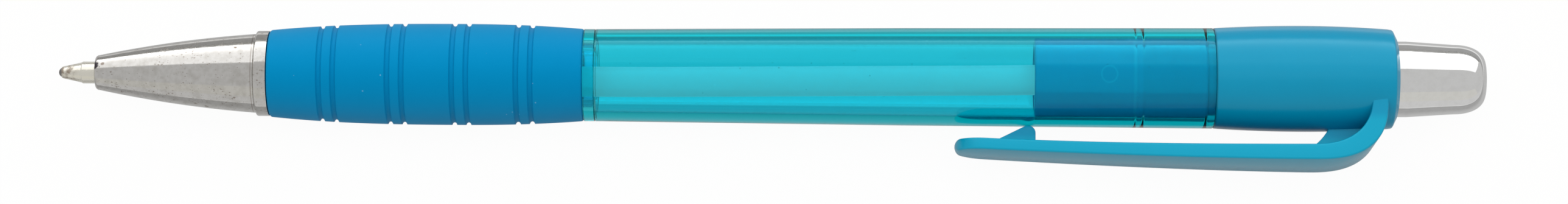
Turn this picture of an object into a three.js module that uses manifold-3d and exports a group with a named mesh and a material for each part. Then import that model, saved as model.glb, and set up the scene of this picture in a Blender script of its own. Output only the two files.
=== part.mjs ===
// A retractable ballpoint pen with a chrome nose cone, a rubber grip, a translucent barrel, a cap moulded
// in one with its clip, and a chrome push button. It lies on a desk in its writing position, on the cap
// and on the edge of the clip.
//
// X runs along the pen from the writing point to the button, Z is up and the sizes are millimetres.
// A station is a distance along the pen's axis, counted from the front face of the nose cone.

import * as THREE from "three";
import { mergeVertices } from "three/addons/utils/BufferGeometryUtils.js";
import Module from "manifold-3d";

const wasm = await Module();
wasm.setup();

// Clearances
const SEAT_GAP = 0.03; // between pieces that are pressed or screwed together
const RUNNING_GAP = 0.1; // between round pieces that slide or turn
const GUIDE_GAP = 0.15; // beside the fins and splines that run in the guide

// Travel of the click mechanism
const TIP_EXPOSED = 3.7; // in the writing position
const RETRACTION = 5; // from the writing position back to the parked one
const OVERTRAVEL = 1.8; // from the writing position forward to the end of the click

// Nose cone
const NOSE_LENGTH = 16.06;
const NOSE_FRONT_RADIUS = 1.66;
const NOSE_REAR_RADIUS = 3.93;
const NOSE_CROWN = 0.5; // how much the side bulges: 0 is a straight cone
const NOSE_LIP_ROUND = 0.35;
const NOSE_RING_LENGTH = 1.27;
const NOSE_RING_RADIUS = 4.23;
const NOSE_RING_ROUND = 0.3;
const NOSE_HOLE_LENGTH = 2.2;
const NOSE_SEAT_STATION = 5.5; // the shoulder that the return spring stands on

// Front section, which carries the grip
const NECK_LENGTH = 6;
const NECK_RADIUS = 2.95;
const CORE_RADIUS = 3.75;
const COLLAR_LENGTH = 1.1;

// Rubber grip, with stations counted from its own front end
const GRIP_LENGTH = 31.27;
const GRIP_FRONT_RADIUS = 4.31;
const GRIP_CROWN_RADIUS = 5.03;
const GRIP_CROWN_STATION = 19.1;
const GRIP_FRONT_SWELL = 2.7; // a higher power keeps the grip full for longer
const GRIP_REAR_SWELL = 2.2;
const GRIP_EDGE_ROUND = 0.3;
const GROOVE_PAIR_STATIONS = [5.94, 12.72, 19.09, 25.41];
const GROOVE_SPACING = 1.4; // between the two grooves of a pair
const GROOVE_WIDTH = 0.56;
const GROOVE_DEPTH = 0.25;

// Barrel
const BARREL_LENGTH = 61.5;
const BARREL_FRONT_RADIUS = 4.58;
const BARREL_MIDDLE_RADIUS = 4.85;
const BARREL_REAR_RADIUS = 5;
const BORE_FRONT_RADIUS = 3.75;
const BORE_REAR_RADIUS = 4.06;
const SHOULDER_LENGTH = 0.5;
const SPIGOT_LENGTH = 7.5;
const SPIGOT_RADIUS = 3.2;
const SPIGOT_BORE_RADIUS = 2.45;

// Cap, and the insert with which it reaches into the barrel
const CAP_LENGTH = 18.2;
const CAP_CROWN_RADIUS = 5.27;
const CAP_CROWN_STATION = 8.8; // from the cap's own front edge
const CAP_REAR_RADIUS = 4.9;
const CAP_EDGE_CHAMFER = 0.12;
const CAP_END_SLOPE = 0.45; // how far the rear face slopes toward the button
const INSERT_LENGTH = 17.9;
const INSERT_GAP = 0.05; // to the barrel's bore, where the insert begins
const INSERT_CHAMFER = 0.3;
const SNAP_BEAD_STATION = 7.4; // middle of the bead, ahead of the cap's front edge
const SNAP_BEAD_LENGTH = 1;

// Clip
const CLIP_LENGTH = 42.75; // from its rounded tip to the back of its arms
const CLIP_SETBACK = 1.2; // from the back of the arms to the cap's rear end
const CLIP_STANDOFF = 1.95; // open height over the cap's crown
const CLIP_THICKNESS = 1.56;
const CLIP_ARM_THICKNESS = 1.6;
const CLIP_BEND_LENGTH = 7.25;
const CLIP_BEND_DROP = 6.2;
const CLIP_OUTER_SQUARENESS = 2.6; // 2 is an ellipse, more is squarer
const CLIP_INNER_SQUARENESS = 2.25;
const CLIP_TIP_DROP = 1.15; // how far the outer face comes in toward the barrel at the tip
const CLIP_TIP_THICKNESS = 1.15;
const CLIP_OUTER_CURVE = 1.6; // powers of the two faces' droop toward the tip
const CLIP_INNER_CURVE = 2.6;
const CLIP_ROOT_WIDTH = 8.4;
const CLIP_TIP_WIDTH = 6.3;
const CLIP_TIP_ROUND = 3;
const CLIP_FOOT_DEPTH = 0.9; // how far the arms run on into the cap's wall
const FIN_THICKNESS = 1.2;
const FIN_PEAK_STATION = 7.3; // from the clip's tip
const FIN_RAMP_LENGTH = 3.65;
const FIN_ROUND = 0.75;
const FIN_ROUND_START = -0.68 * Math.PI; // where its ramp runs into its rounded peak
const GUSSET_THICKNESS = 1.2;
const GUSSET_LENGTH = 7.7; // along the clip, from the back of the arms
const GUSSET_FOOT_LENGTH = 5.2; // along the cap
const GUSSET_HOLLOW = 0.55; // how far its front edge is hollowed

// Push button
const BUTTON_RADIUS = 3.76;
const BUTTON_EXPOSED = 8.85; // in the writing position
const BUTTON_STRAIGHT = 1; // before the taper begins
const BUTTON_SHOULDER_RADIUS = 3.45; // where the rounded end begins
const BUTTON_END_LENGTH = 3.1;
const BUTTON_FACE_RADIUS = 1.45;
const BUTTON_WALL = 0.45;

// Click mechanism
const GUIDE_AHEAD = 2.7; // how far the guide's ribs begin ahead of the cap's front edge
const GUIDE_GROOVES = 4;
const GUIDE_WALL = 0.75; // closes the grooves at their rear end
const RIB_HEIGHT = 0.75;
const RIB_LEAD_IN = 0.6; // the slope on the ribs' front ends
const FIN_WIDTH = 1.4;
const FIN_SLANT = 0.9;
const ROTOR_FIN_LENGTH = 2.2;
const ROTOR_CUP_LENGTH = 5;
const ROTOR_CUP_WALL = 0.55;
const ROTOR_STEM_RADIUS = 1.5;
const ROTOR_STEM_LENGTH = 4;
const ROTOR_STANDOFF = 0.3; // from the guide's ribs to the rotor, which turns ahead of them
const REFILL_SEAT_DEPTH = 3; // of the refill in the rotor's cup
const SPLINE_LENGTH = 4;
const CROWN_TEETH = 8;
const CROWN_TOOTH_DEPTH = 0.6;

// Refill
const REFILL_RADIUS = 1.5;
const REFILL_WALL = 0.35;
const HOLDER_RADIUS = 1.4;
const HOLDER_LENGTH = 11;
const HOLDER_FLANGE_LENGTH = 1;
const HOLDER_SPIGOT_LENGTH = 4;
const TIP_RADIUS = 1.08;
const TIP_TUBE_STATION = 9; // the rear end of the tip's tube
const TIP_SPIGOT_RADIUS = 0.75;
const TIP_SPIGOT_LENGTH = 3;
const TIP_BORE_RADIUS = 0.45;
const TIP_CONE_LENGTH = 2.3;
const TIP_CONE_REAR_RADIUS = 1;
const TIP_CHAMFER_LENGTH = 0.5;
const TIP_CHAMFER_RADIUS = 0.67;
const TIP_LIP_RADIUS = 0.55;
const INK_FEED_RADIUS = 0.25;
const INK_FEED_LENGTH = 1.5;
const BALL_RADIUS = 0.5;
const BALL_SHOWING = 0.32; // how far the ball stands out of the lip
const BALL_GAP = 0.025;
const INK_LENGTH = 58;
const GREASE_LENGTH = 4;

// Return spring, as short as the writing position presses it
const WIRE_RADIUS = 0.175;
const SPRING_CURLS = 12;
const CURL_STEPS = 8;
const WIRE_SIDES = 5;
const WIRE_BEND_STEPS = 3;

// Roundness of the model
const SIDES = 36;
const SMALL_SIDES = 24;
const MERGE_DISTANCE = 1e-4;
const CUT_MARGIN = 1; // how far a cutting shape stands clear of what it cuts

// Stations of the housing
const noseRear = NOSE_LENGTH + NOSE_RING_LENGTH;
const neckFront = noseRear - NECK_LENGTH;
const gripRear = noseRear + GRIP_LENGTH;
const barrelFront = gripRear + COLLAR_LENGTH;
const capFront = barrelFront + BARREL_LENGTH;
const capRear = capFront + CAP_LENGTH;
const insertFront = capFront - INSERT_LENGTH;
const buttonEnd = capRear + BUTTON_EXPOSED;
const clipBack = capRear - CLIP_SETBACK;
const clipTip = clipBack - CLIP_LENGTH;
const clipBendStart = clipBack - CLIP_BEND_LENGTH;

// Stations of the click mechanism, in the writing position
const guideFront = capFront - GUIDE_AHEAD;
const rotorRear = guideFront - ROTOR_STANDOFF;
const rotorFront = rotorRear - ROTOR_FIN_LENGTH - ROTOR_CUP_LENGTH;
const stemRear = rotorRear + ROTOR_STEM_LENGTH;
const pusherFront = rotorRear + RUNNING_GAP;
const splineRear = pusherFront + SPLINE_LENGTH;
const grooveRear = splineRear + RETRACTION + GUIDE_GAP;
const guideRear = grooveRear + GUIDE_WALL;
const shellFront = guideRear + OVERTRAVEL + 2 * RUNNING_GAP;

// Stations of the refill, in the writing position
const ballCentre = BALL_RADIUS - TIP_EXPOSED;
const lipFront = BALL_SHOWING - TIP_EXPOSED;
const coneRear = TIP_CONE_LENGTH - TIP_EXPOSED;
const holderFront = TIP_TUBE_STATION + SEAT_GAP;
const flangeFront = holderFront + HOLDER_LENGTH;
const flangeRear = flangeFront + HOLDER_FLANGE_LENGTH;
const holderRear = flangeRear + HOLDER_SPIGOT_LENGTH;
const inkRear = holderRear + SEAT_GAP + INK_LENGTH;
const refillRear = rotorFront + REFILL_SEAT_DEPTH;

// Sizes that one piece takes from another
const tipHoleRadius = TIP_RADIUS + RUNNING_GAP;
const refillBoreRadius = REFILL_RADIUS - REFILL_WALL;
const coilRadius = REFILL_RADIUS + RUNNING_GAP + WIRE_RADIUS;
const chamberRadius = coilRadius + WIRE_RADIUS + RUNNING_GAP;
const frontBoreRadius = chamberRadius + GUIDE_GAP;
const rotorRadius = REFILL_RADIUS + RUNNING_GAP + ROTOR_CUP_WALL;
const guideBoreRadius = rotorRadius + 2 * RUNNING_GAP;
const grooveFloor = guideBoreRadius + RIB_HEIGHT;
const grooveHalfWidth = FIN_WIDTH / 2 + GUIDE_GAP;
const insertBoreRadius = Math.hypot(grooveFloor, grooveHalfWidth) + RUNNING_GAP;
const finReach = grooveFloor - GUIDE_GAP;
const capBoreRadius = BUTTON_RADIUS + RUNNING_GAP;
const clipInnerHeight = CAP_CROWN_RADIUS + CLIP_STANDOFF;
const clipOuterHeight = clipInnerHeight + CLIP_THICKNESS;

const { lerp } = THREE.MathUtils;

/** The index of a merged geometry without the triangles that have shrunk to a line. */
function trueTriangles(index) {
  const kept = [];
  for (let i = 0; i < index.length; i += 3) {
    const [a, b, c] = index.slice(i, i + 3);
    if (a !== b && b !== c && c !== a) kept.push(a, b, c);
  }
  return Uint32Array.from(kept);
}

/** A closed three.js geometry as a solid that can be joined and cut. */
function solidFrom(geometry) {
  const bare = geometry.clone();
  bare.deleteAttribute("normal");
  bare.deleteAttribute("uv");
  const merged = mergeVertices(bare, MERGE_DISTANCE);
  return new wasm.Manifold(
    new wasm.Mesh({
      numProp: 3,
      vertProperties: Float32Array.from(merged.attributes.position.array),
      triVerts: trueTriangles(merged.index.array),
    }),
  );
}

/** A solid as a three.js geometry. */
function geometryFrom(solid) {
  const { vertProperties, triVerts } = solid.getMesh();
  const geometry = new THREE.BufferGeometry();
  geometry.setAttribute("position", new THREE.BufferAttribute(vertProperties, 3));
  geometry.setIndex(new THREE.BufferAttribute(triVerts, 1));
  geometry.computeVertexNormals();
  return geometry;
}

/** A named piece of the pen, with its own origin at a station. */
function piece(name, solid, finish, station = 0) {
  const mesh = new THREE.Mesh(geometryFrom(solid), finish);
  mesh.name = name;
  mesh.position.x = station;
  return mesh;
}

/** Values from 0 to 1 in equal steps, both ends counted. */
function steps(count) {
  return Array.from({ length: count + 1 }, (_, i) => i / count);
}

/** Points of a round corner of an outline, from one angle to another about its centre. */
function corner(station, radius, size, fromAngle, toAngle, count = 3) {
  return steps(count).map((t) => {
    const angle = lerp(fromAngle, toAngle, t);
    return [station + size * Math.cos(angle), radius + size * Math.sin(angle)];
  });
}

/** Points of an outline along a curve that gives a radius for each station. */
function along(from, to, count, radiusAt) {
  return steps(count).map((t) => {
    const station = lerp(from, to, t);
    return [station, radiusAt(station)];
  });
}

/**
 * A solid turned about the pen's axis. Its outline is [station, radius] points, along the outside from
 * front to rear and then back along the bore. An outline that starts on the axis also ends there.
 */
function turned(outline, sides = SIDES) {
  const points = outline.map(([station, radius]) => new THREE.Vector2(radius, station));
  if (outline[0][1] > 0) points.push(points[0].clone());
  return solidFrom(new THREE.LatheGeometry(points, sides).rotateZ(-Math.PI / 2));
}

/** A plain tube or, without a bore, a plain round bar. */
function tube(front, rear, radius, bore = 0, sides = SMALL_SIDES) {
  const outline = [
    [front, bore],
    [front, radius],
    [rear, radius],
    [rear, bore],
  ];
  return turned(outline, sides);
}

/** A flat plate in the pen's middle plane, from [station, height] points, with height toward the clip. */
function plate(outline, thickness) {
  const shape = new THREE.Shape(outline.map(([station, height]) => new THREE.Vector2(station, -height)));
  const geometry = new THREE.ExtrudeGeometry(shape, { depth: thickness, bevelEnabled: false });
  return solidFrom(geometry.translate(0, 0, -thickness / 2));
}

/** A prism that stands out from the axis, from [station, sideways] points, turned by an angle round it. */
function radialPrism(outline, innerRadius, outerRadius, angle) {
  const shape = new THREE.Shape(outline.map(([station, sideways]) => new THREE.Vector2(station, sideways)));
  const depth = outerRadius - innerRadius;
  const geometry = new THREE.ExtrudeGeometry(shape, { depth, bevelEnabled: false });
  return solidFrom(geometry.translate(0, 0, innerRadius).rotateX(angle));
}

/** Copies at equal steps round the pen, joined: make(angle) gives each one. */
function roundThePen(count, make) {
  return steps(count)
    .slice(1)
    .map((turn) => make(2 * Math.PI * turn))
    .reduce((joined, copy) => joined.add(copy));
}

// Nose cone

/** Radius of the nose cone's bulging side. */
function noseRadius(station) {
  const share = station / NOSE_LENGTH;
  return lerp(NOSE_FRONT_RADIUS, NOSE_REAR_RADIUS, (1 + NOSE_CROWN) * share - NOSE_CROWN * share * share);
}

/** The chrome cone: its tip hole, the spring's chamber and the socket for the front section's neck. */
function makeNoseCone() {
  const lipRadius = noseRadius(NOSE_LIP_ROUND) - NOSE_LIP_ROUND;
  const ringMiddle = NOSE_LENGTH + NOSE_RING_ROUND;
  const ringShoulder = NOSE_RING_RADIUS - NOSE_RING_ROUND;
  const socketFront = neckFront - SEAT_GAP;
  const socketRadius = NECK_RADIUS + SEAT_GAP;
  return turned([
    [0, tipHoleRadius],
    ...corner(NOSE_LIP_ROUND, lipRadius, NOSE_LIP_ROUND, Math.PI, Math.PI / 2),
    ...along(NOSE_LIP_ROUND, NOSE_LENGTH, 9, noseRadius).slice(1),
    ...corner(ringMiddle, ringShoulder, NOSE_RING_ROUND, Math.PI, Math.PI / 2).slice(1),
    [noseRear, NOSE_RING_RADIUS],
    [noseRear, socketRadius],
    [socketFront, socketRadius],
    [socketFront, chamberRadius],
    [NOSE_SEAT_STATION, chamberRadius],
    [NOSE_SEAT_STATION, tipHoleRadius + RUNNING_GAP],
    [NOSE_HOLE_LENGTH, tipHoleRadius],
  ]);
}

// Front section and grip

/** The neck in the nose cone, the core under the grip, and the collar with the barrel's socket. */
function makeFrontSection() {
  const socketFront = barrelFront - SPIGOT_LENGTH - SEAT_GAP;
  const socketRadius = SPIGOT_RADIUS + SEAT_GAP;
  return turned([
    [neckFront, frontBoreRadius],
    [neckFront, NECK_RADIUS],
    [noseRear + SEAT_GAP, NECK_RADIUS],
    [noseRear + SEAT_GAP, CORE_RADIUS],
    [gripRear, CORE_RADIUS],
    [gripRear, BARREL_FRONT_RADIUS],
    [barrelFront, BARREL_FRONT_RADIUS],
    [barrelFront, socketRadius],
    [socketFront, socketRadius],
    [socketFront, frontBoreRadius],
  ]);
}

/** Radius of the grip, which swells to its crown and comes in again to meet the collar. */
function gripRadius(station) {
  const ahead = station < GRIP_CROWN_STATION;
  const reach = ahead ? GRIP_CROWN_STATION : GRIP_LENGTH - GRIP_CROWN_STATION;
  const endRadius = ahead ? GRIP_FRONT_RADIUS : BARREL_FRONT_RADIUS;
  const swell = ahead ? GRIP_FRONT_SWELL : GRIP_REAR_SWELL;
  const share = Math.abs(station - GRIP_CROWN_STATION) / reach;
  return GRIP_CROWN_RADIUS - (GRIP_CROWN_RADIUS - endRadius) * share ** swell;
}

/** Points across one rounded groove of the grip. */
function groovePoints(middle) {
  return steps(3).map((t) => {
    const station = middle - (GROOVE_WIDTH / 2) * Math.cos(Math.PI * t);
    return [station, gripRadius(station) - GROOVE_DEPTH * Math.sin(Math.PI * t)];
  });
}

/** The rubber sleeve, built from its own front end. */
function makeGrip() {
  const rear = GRIP_LENGTH - 2 * SEAT_GAP;
  const bore = CORE_RADIUS + SEAT_GAP;
  const grooves = GROOVE_PAIR_STATIONS.flatMap((middle) => [
    middle - GROOVE_SPACING / 2,
    middle + GROOVE_SPACING / 2,
  ]);
  const plain = along(GRIP_EDGE_ROUND, rear - GRIP_EDGE_ROUND, 16, gripRadius).filter(([station]) =>
    grooves.every((middle) => Math.abs(middle - station) > GROOVE_WIDTH),
  );
  const side = [...plain, ...grooves.flatMap(groovePoints)].sort((a, b) => a[0] - b[0]);
  return turned([
    [0, bore],
    [0, side[0][1] - GRIP_EDGE_ROUND],
    ...side,
    [rear, side.at(-1)[1] - GRIP_EDGE_ROUND / 2],
    [rear, bore],
  ]);
}

// Barrel

/** Outer radius of the barrel, which tapers toward the grip, more in its front half. */
function barrelRadius(station) {
  const halves = (2 * (station - barrelFront)) / BARREL_LENGTH;
  return halves < 1
    ? lerp(BARREL_FRONT_RADIUS, BARREL_MIDDLE_RADIUS, halves)
    : lerp(BARREL_MIDDLE_RADIUS, BARREL_REAR_RADIUS, halves - 1);
}

/** Radius of the barrel's bore, which widens to the rear with the mould's draft. */
function boreRadius(station) {
  return lerp(BORE_FRONT_RADIUS, BORE_REAR_RADIUS, (station - barrelFront) / BARREL_LENGTH);
}

/** The translucent tube, with the spigot that goes into the front section. */
function makeBarrel() {
  const front = barrelFront + SEAT_GAP;
  const rear = capFront - SEAT_GAP;
  const boreFront = front + SHOULDER_LENGTH;
  return turned([
    [barrelFront - SPIGOT_LENGTH, SPIGOT_BORE_RADIUS],
    [barrelFront - SPIGOT_LENGTH, SPIGOT_RADIUS],
    [front, SPIGOT_RADIUS],
    ...along(front, rear, 4, barrelRadius),
    [rear, boreRadius(rear)],
    [boreFront, boreRadius(boreFront)],
    [boreFront, SPIGOT_BORE_RADIUS],
  ]);
}

// Cap, insert and clip

/** Outer radius of the cap, which swells from the barrel's end to its crown and comes in again. */
function capRadius(station) {
  const crown = capFront + CAP_CROWN_STATION;
  const [end, endRadius] = station < crown ? [capFront, BARREL_REAR_RADIUS] : [capRear, CAP_REAR_RADIUS];
  const share = (station - crown) / (end - crown);
  return CAP_CROWN_RADIUS - (CAP_CROWN_RADIUS - endRadius) * share * share;
}

/** The cap and its insert, with the snap bead that holds it, the guide's ribs and the button's well. */
function makeCapTube() {
  const beadMiddle = capFront - SNAP_BEAD_STATION;
  const beadFront = beadMiddle - SNAP_BEAD_LENGTH / 2;
  const beadRear = beadMiddle + SNAP_BEAD_LENGTH / 2;
  const insertRadius = boreRadius(insertFront) - INSERT_GAP;
  const rearRadius = boreRadius(beadRear) - INSERT_GAP;
  return turned([
    [insertFront, insertBoreRadius],
    [insertFront, insertRadius - INSERT_CHAMFER],
    [insertFront + INSERT_CHAMFER, insertRadius],
    [beadFront, insertRadius],
    [beadMiddle, boreRadius(beadMiddle) - SEAT_GAP],
    [beadRear, rearRadius],
    [capFront, rearRadius],
    [capFront, BARREL_REAR_RADIUS - CAP_EDGE_CHAMFER],
    ...along(capFront + CAP_EDGE_CHAMFER, capRear - CAP_END_SLOPE, 7, capRadius),
    [capRear, capBoreRadius],
    [guideRear, capBoreRadius],
    [guideRear, guideBoreRadius],
    [guideFront + RIB_LEAD_IN, guideBoreRadius],
    [guideFront, insertBoreRadius],
  ]);
}

/** The grooves in which the rotor's fins and the pusher's splines run. */
function makeGuideGrooves() {
  const front = guideFront - CUT_MARGIN;
  const outline = [
    [front, -grooveHalfWidth],
    [grooveRear, -grooveHalfWidth],
    [grooveRear, grooveHalfWidth],
    [front, grooveHalfWidth],
  ];
  return roundThePen(GUIDE_GROOVES, (angle) => radialPrism(outline, 0, grooveFloor, angle));
}

/** Height over the axis of one face of the clip, which droops toward the tip. */
function clipFace(station, rootHeight, tipDrop, curve) {
  const share = (clipBendStart - station) / (clipBendStart - clipTip);
  return rootHeight - tipDrop * share ** curve;
}

function clipOuterFace(station) {
  return clipFace(station, clipOuterHeight, CLIP_TIP_DROP, CLIP_OUTER_CURVE);
}

function clipInnerFace(station) {
  const drop = CLIP_TIP_DROP + CLIP_TIP_THICKNESS - CLIP_THICKNESS;
  return clipFace(station, clipInnerHeight, drop, CLIP_INNER_CURVE);
}

/** Points round the clip's bend, from its long leg down to its arms, inset from its outer face. */
function clipBend(stationInset, heightInset, squareness) {
  const reach = CLIP_BEND_LENGTH - stationInset;
  const rise = CLIP_BEND_DROP - heightInset;
  const floor = clipOuterHeight - CLIP_BEND_DROP;
  return steps(8).map((t) => {
    const angle = (Math.PI / 2) * (1 - t);
    const ahead = Math.cos(angle) ** (2 / squareness);
    const up = Math.sin(angle) ** (2 / squareness);
    return [clipBendStart + reach * ahead, floor + rise * up];
  });
}

/** The clip from the side: its long leg with a rounded tip, its bend and the thickness of its arms. */
function clipSideOutline() {
  const tipRound = CLIP_TIP_THICKNESS / 2;
  const legStart = clipTip + tipRound;
  const foot = clipOuterHeight - CLIP_BEND_DROP - CLIP_FOOT_DEPTH;
  const tipMiddle = (clipOuterFace(legStart) + clipInnerFace(legStart)) / 2;
  return [
    ...along(legStart, clipBendStart, 7, clipOuterFace).slice(0, -1),
    ...clipBend(0, 0, CLIP_OUTER_SQUARENESS),
    [clipBack, foot],
    [clipBack - CLIP_ARM_THICKNESS, foot],
    ...clipBend(CLIP_ARM_THICKNESS, CLIP_THICKNESS, CLIP_INNER_SQUARENESS).reverse(),
    ...along(clipBendStart, legStart, 7, clipInnerFace).slice(1),
    ...corner(legStart, tipMiddle, tipRound, 1.5 * Math.PI, 0.5 * Math.PI, 4).slice(1, -1),
  ];
}

/** The clip from outside: it narrows from the cap to a rounded tip. */
function clipPlanOutline() {
  const side = [
    ...steps(5).map((t) => [
      clipTip + CLIP_TIP_ROUND * (1 - Math.cos((Math.PI / 2) * t)),
      (CLIP_TIP_WIDTH / 2) * Math.sin((Math.PI / 2) * t),
    ]),
    [clipBendStart, CLIP_ROOT_WIDTH / 2],
    [clipBack + CUT_MARGIN, CLIP_ROOT_WIDTH / 2],
  ];
  const otherSide = side.slice(1).map(([station, sideways]) => [station, -sideways]);
  return [...side, ...otherSide.reverse()];
}

/** The clip's strip: what its side outline and its plan outline have in common. */
function makeClipStrip() {
  const shape = new THREE.Shape(
    clipPlanOutline().map(([station, sideways]) => new THREE.Vector2(station, sideways)),
  );
  const depth = clipOuterHeight + CUT_MARGIN;
  const plan = new THREE.ExtrudeGeometry(shape, { depth, bevelEnabled: false }).rotateX(Math.PI / 2);
  return plate(clipSideOutline(), CLIP_ROOT_WIDTH + CUT_MARGIN).intersect(solidFrom(plan));
}

/** The thin fin under the clip, with a ramp for cloth to slide in by and a rounded peak at the barrel. */
function makeClipFin() {
  const peak = clipTip + FIN_PEAK_STATION;
  const rampTop = peak - FIN_RAMP_LENGTH;
  const rear = peak + FIN_ROUND;
  const roundMiddle = barrelRadius(peak) + SEAT_GAP + FIN_ROUND;
  const insideClip = (station) => (clipOuterFace(station) + clipInnerFace(station)) / 2;
  const outline = [
    [rampTop, insideClip(rampTop)],
    [rampTop, clipInnerFace(rampTop)],
    ...corner(peak, roundMiddle, FIN_ROUND, FIN_ROUND_START, 0, 5),
    [rear, insideClip(rear)],
  ];
  return plate(outline, FIN_THICKNESS);
}

/** The rib between the clip and the cap, with a hollow front edge. */
function makeGusset() {
  const foot = capBoreRadius;
  const front = clipBack - GUSSET_LENGTH;
  const footFront = clipBack - GUSSET_FOOT_LENGTH;
  const hollow = new THREE.QuadraticBezierCurve(
    new THREE.Vector2(footFront, foot),
    new THREE.Vector2((front + footFront) / 2 + GUSSET_HOLLOW, (foot + clipInnerHeight) / 2 + GUSSET_HOLLOW),
    new THREE.Vector2(front, clipInnerHeight),
  );
  const insideClip = clipBend(CLIP_ARM_THICKNESS / 2, CLIP_THICKNESS / 2, CLIP_OUTER_SQUARENESS);
  const outline = [
    ...hollow.getPoints(4).map((point) => [point.x, point.y]),
    [front, insideClip[0][1]],
    ...insideClip.filter(([, height]) => height > foot),
    [clipBack - CLIP_ARM_THICKNESS / 2, foot],
  ];
  return plate(outline, GUSSET_THICKNESS);
}

/** Clip, fin and gusset, cut off inside the cap's wall, where they join it. */
function makeClip() {
  const wallMiddle = (capBoreRadius + capRadius(clipBack)) / 2;
  const inside = tube(clipTip - CUT_MARGIN, capRear, wallMiddle, 0, SIDES);
  return makeClipStrip().add(makeClipFin()).add(makeGusset()).subtract(inside);
}

/** Cap, insert, guide and clip, moulded in one. */
function makeCap() {
  return makeCapTube().subtract(makeGuideGrooves()).add(makeClip());
}

// Push button and click mechanism

/** The button's side behind the cap, inset from its surface: straight, tapered, then rounded. */
function buttonSide(inset) {
  const shoulder = buttonEnd - BUTTON_END_LENGTH;
  const rounding = BUTTON_SHOULDER_RADIUS - inset - BUTTON_FACE_RADIUS;
  const rounded = steps(6).map((t) => {
    const angle = (Math.PI / 2) * (1 - t);
    const station = shoulder + (BUTTON_END_LENGTH - inset) * Math.cos(angle);
    return [station, BUTTON_FACE_RADIUS + rounding * Math.sin(angle)];
  });
  return [[capRear + BUTTON_STRAIGHT, BUTTON_RADIUS - inset], ...rounded];
}

/** The plated shell of the button, open at the front. */
function makeButtonShell() {
  return turned([
    [buttonEnd - BUTTON_WALL, 0],
    ...buttonSide(BUTTON_WALL).reverse(),
    [shellFront, BUTTON_RADIUS - BUTTON_WALL],
    [shellFront, BUTTON_RADIUS],
    ...buttonSide(0),
    [buttonEnd, 0],
  ]);
}

/** A fin or spline at each groove of the guide, with its rear end slanted by a given amount. */
function makeFins(front, rear, slant) {
  const half = FIN_WIDTH / 2;
  const outline = [
    [front, -half],
    [rear - slant, -half],
    [rear, half],
    [front, half],
  ];
  const root = rotorRadius - RUNNING_GAP;
  return roundThePen(GUIDE_GROOVES, (angle) => radialPrism(outline, root, finReach, angle));
}

/** The notches that leave the crown of teeth on the pusher's front end. */
function makeCrownNotches() {
  const pitch = Math.PI / CROWN_TEETH;
  const half = ROTOR_STEM_RADIUS * Math.tan(pitch);
  const front = pusherFront - CUT_MARGIN;
  const outline = [
    [front, -half],
    [pusherFront, -half],
    [pusherFront + CROWN_TOOTH_DEPTH, 0],
    [pusherFront, half],
    [front, half],
  ];
  return roundThePen(CROWN_TEETH, (angle) =>
    radialPrism(outline, 0, finReach + CUT_MARGIN, angle + pitch),
  );
}

/** The plunger core: a head pressed into the button's shell, and a splined tube that drives the rotor. */
function makePlungerCore() {
  const inset = BUTTON_WALL + SEAT_GAP;
  const headFront = shellFront + RUNNING_GAP;
  const holeRadius = ROTOR_STEM_RADIUS + GUIDE_GAP;
  const holeRear = stemRear + GUIDE_GAP;
  return turned([
    [holeRear, 0],
    [holeRear, holeRadius],
    [pusherFront, holeRadius],
    [pusherFront, rotorRadius],
    [headFront, rotorRadius],
    [headFront, BUTTON_RADIUS - inset],
    ...buttonSide(inset),
    [buttonEnd - inset, 0],
  ])
    .add(makeFins(pusherFront, splineRear, 0))
    .subtract(makeCrownNotches());
}

/** The rotor: a cup for the refill, slanted fins that climb the guide's steps, and a stem in the pusher. */
function makeRotor() {
  const cupRadius = REFILL_RADIUS + RUNNING_GAP;
  const cupFloor = refillRear + SEAT_GAP;
  return turned([
    [cupFloor, 0],
    [cupFloor, cupRadius],
    [rotorFront, cupRadius],
    [rotorFront, rotorRadius],
    [rotorRear, rotorRadius],
    [rotorRear, ROTOR_STEM_RADIUS],
    [stemRear, ROTOR_STEM_RADIUS],
    [stemRear, 0],
  ]).add(makeFins(rotorRear - ROTOR_FIN_LENGTH, rotorRear, FIN_SLANT));
}

// Refill and spring

/** The metal tip: the ball's socket behind a thin lip, the cone, the tube and the spigot. */
function makeRefillTip() {
  const spigotRear = TIP_TUBE_STATION + TIP_SPIGOT_LENGTH;
  const feedRear = ballCentre + INK_FEED_LENGTH;
  const body = turned(
    [
      [lipFront, 0],
      [lipFront, TIP_LIP_RADIUS],
      [lipFront + TIP_CHAMFER_LENGTH, TIP_CHAMFER_RADIUS],
      [coneRear, TIP_CONE_REAR_RADIUS],
      [coneRear, TIP_RADIUS],
      [TIP_TUBE_STATION, TIP_RADIUS],
      [TIP_TUBE_STATION, TIP_SPIGOT_RADIUS],
      [spigotRear, TIP_SPIGOT_RADIUS],
      [spigotRear, 0],
    ],
    SMALL_SIDES,
  );
  const socket = new THREE.SphereGeometry(BALL_RADIUS + BALL_GAP, SMALL_SIDES, SMALL_SIDES / 2);
  return body
    .subtract(solidFrom(socket.translate(ballCentre, 0, 0)))
    .subtract(tube(ballCentre, feedRear + SEAT_GAP, INK_FEED_RADIUS))
    .subtract(tube(feedRear, spigotRear + CUT_MARGIN, TIP_BORE_RADIUS));
}

/** The writing ball, about its own centre. */
function makeBall() {
  return solidFrom(new THREE.SphereGeometry(BALL_RADIUS, 16, 10));
}

/** The holder that joins the tip to the refill tube, with the flange that the spring bears on. */
function makeTipHolder() {
  const bore = TIP_SPIGOT_RADIUS + SEAT_GAP;
  const spigotRadius = refillBoreRadius - SEAT_GAP;
  return turned(
    [
      [holderFront, bore],
      [holderFront, HOLDER_RADIUS],
      [flangeFront, HOLDER_RADIUS],
      [flangeFront, chamberRadius],
      [flangeRear, chamberRadius],
      [flangeRear, spigotRadius],
      [holderRear, spigotRadius],
      [holderRear, bore],
    ],
    SMALL_SIDES,
  );
}

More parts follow.
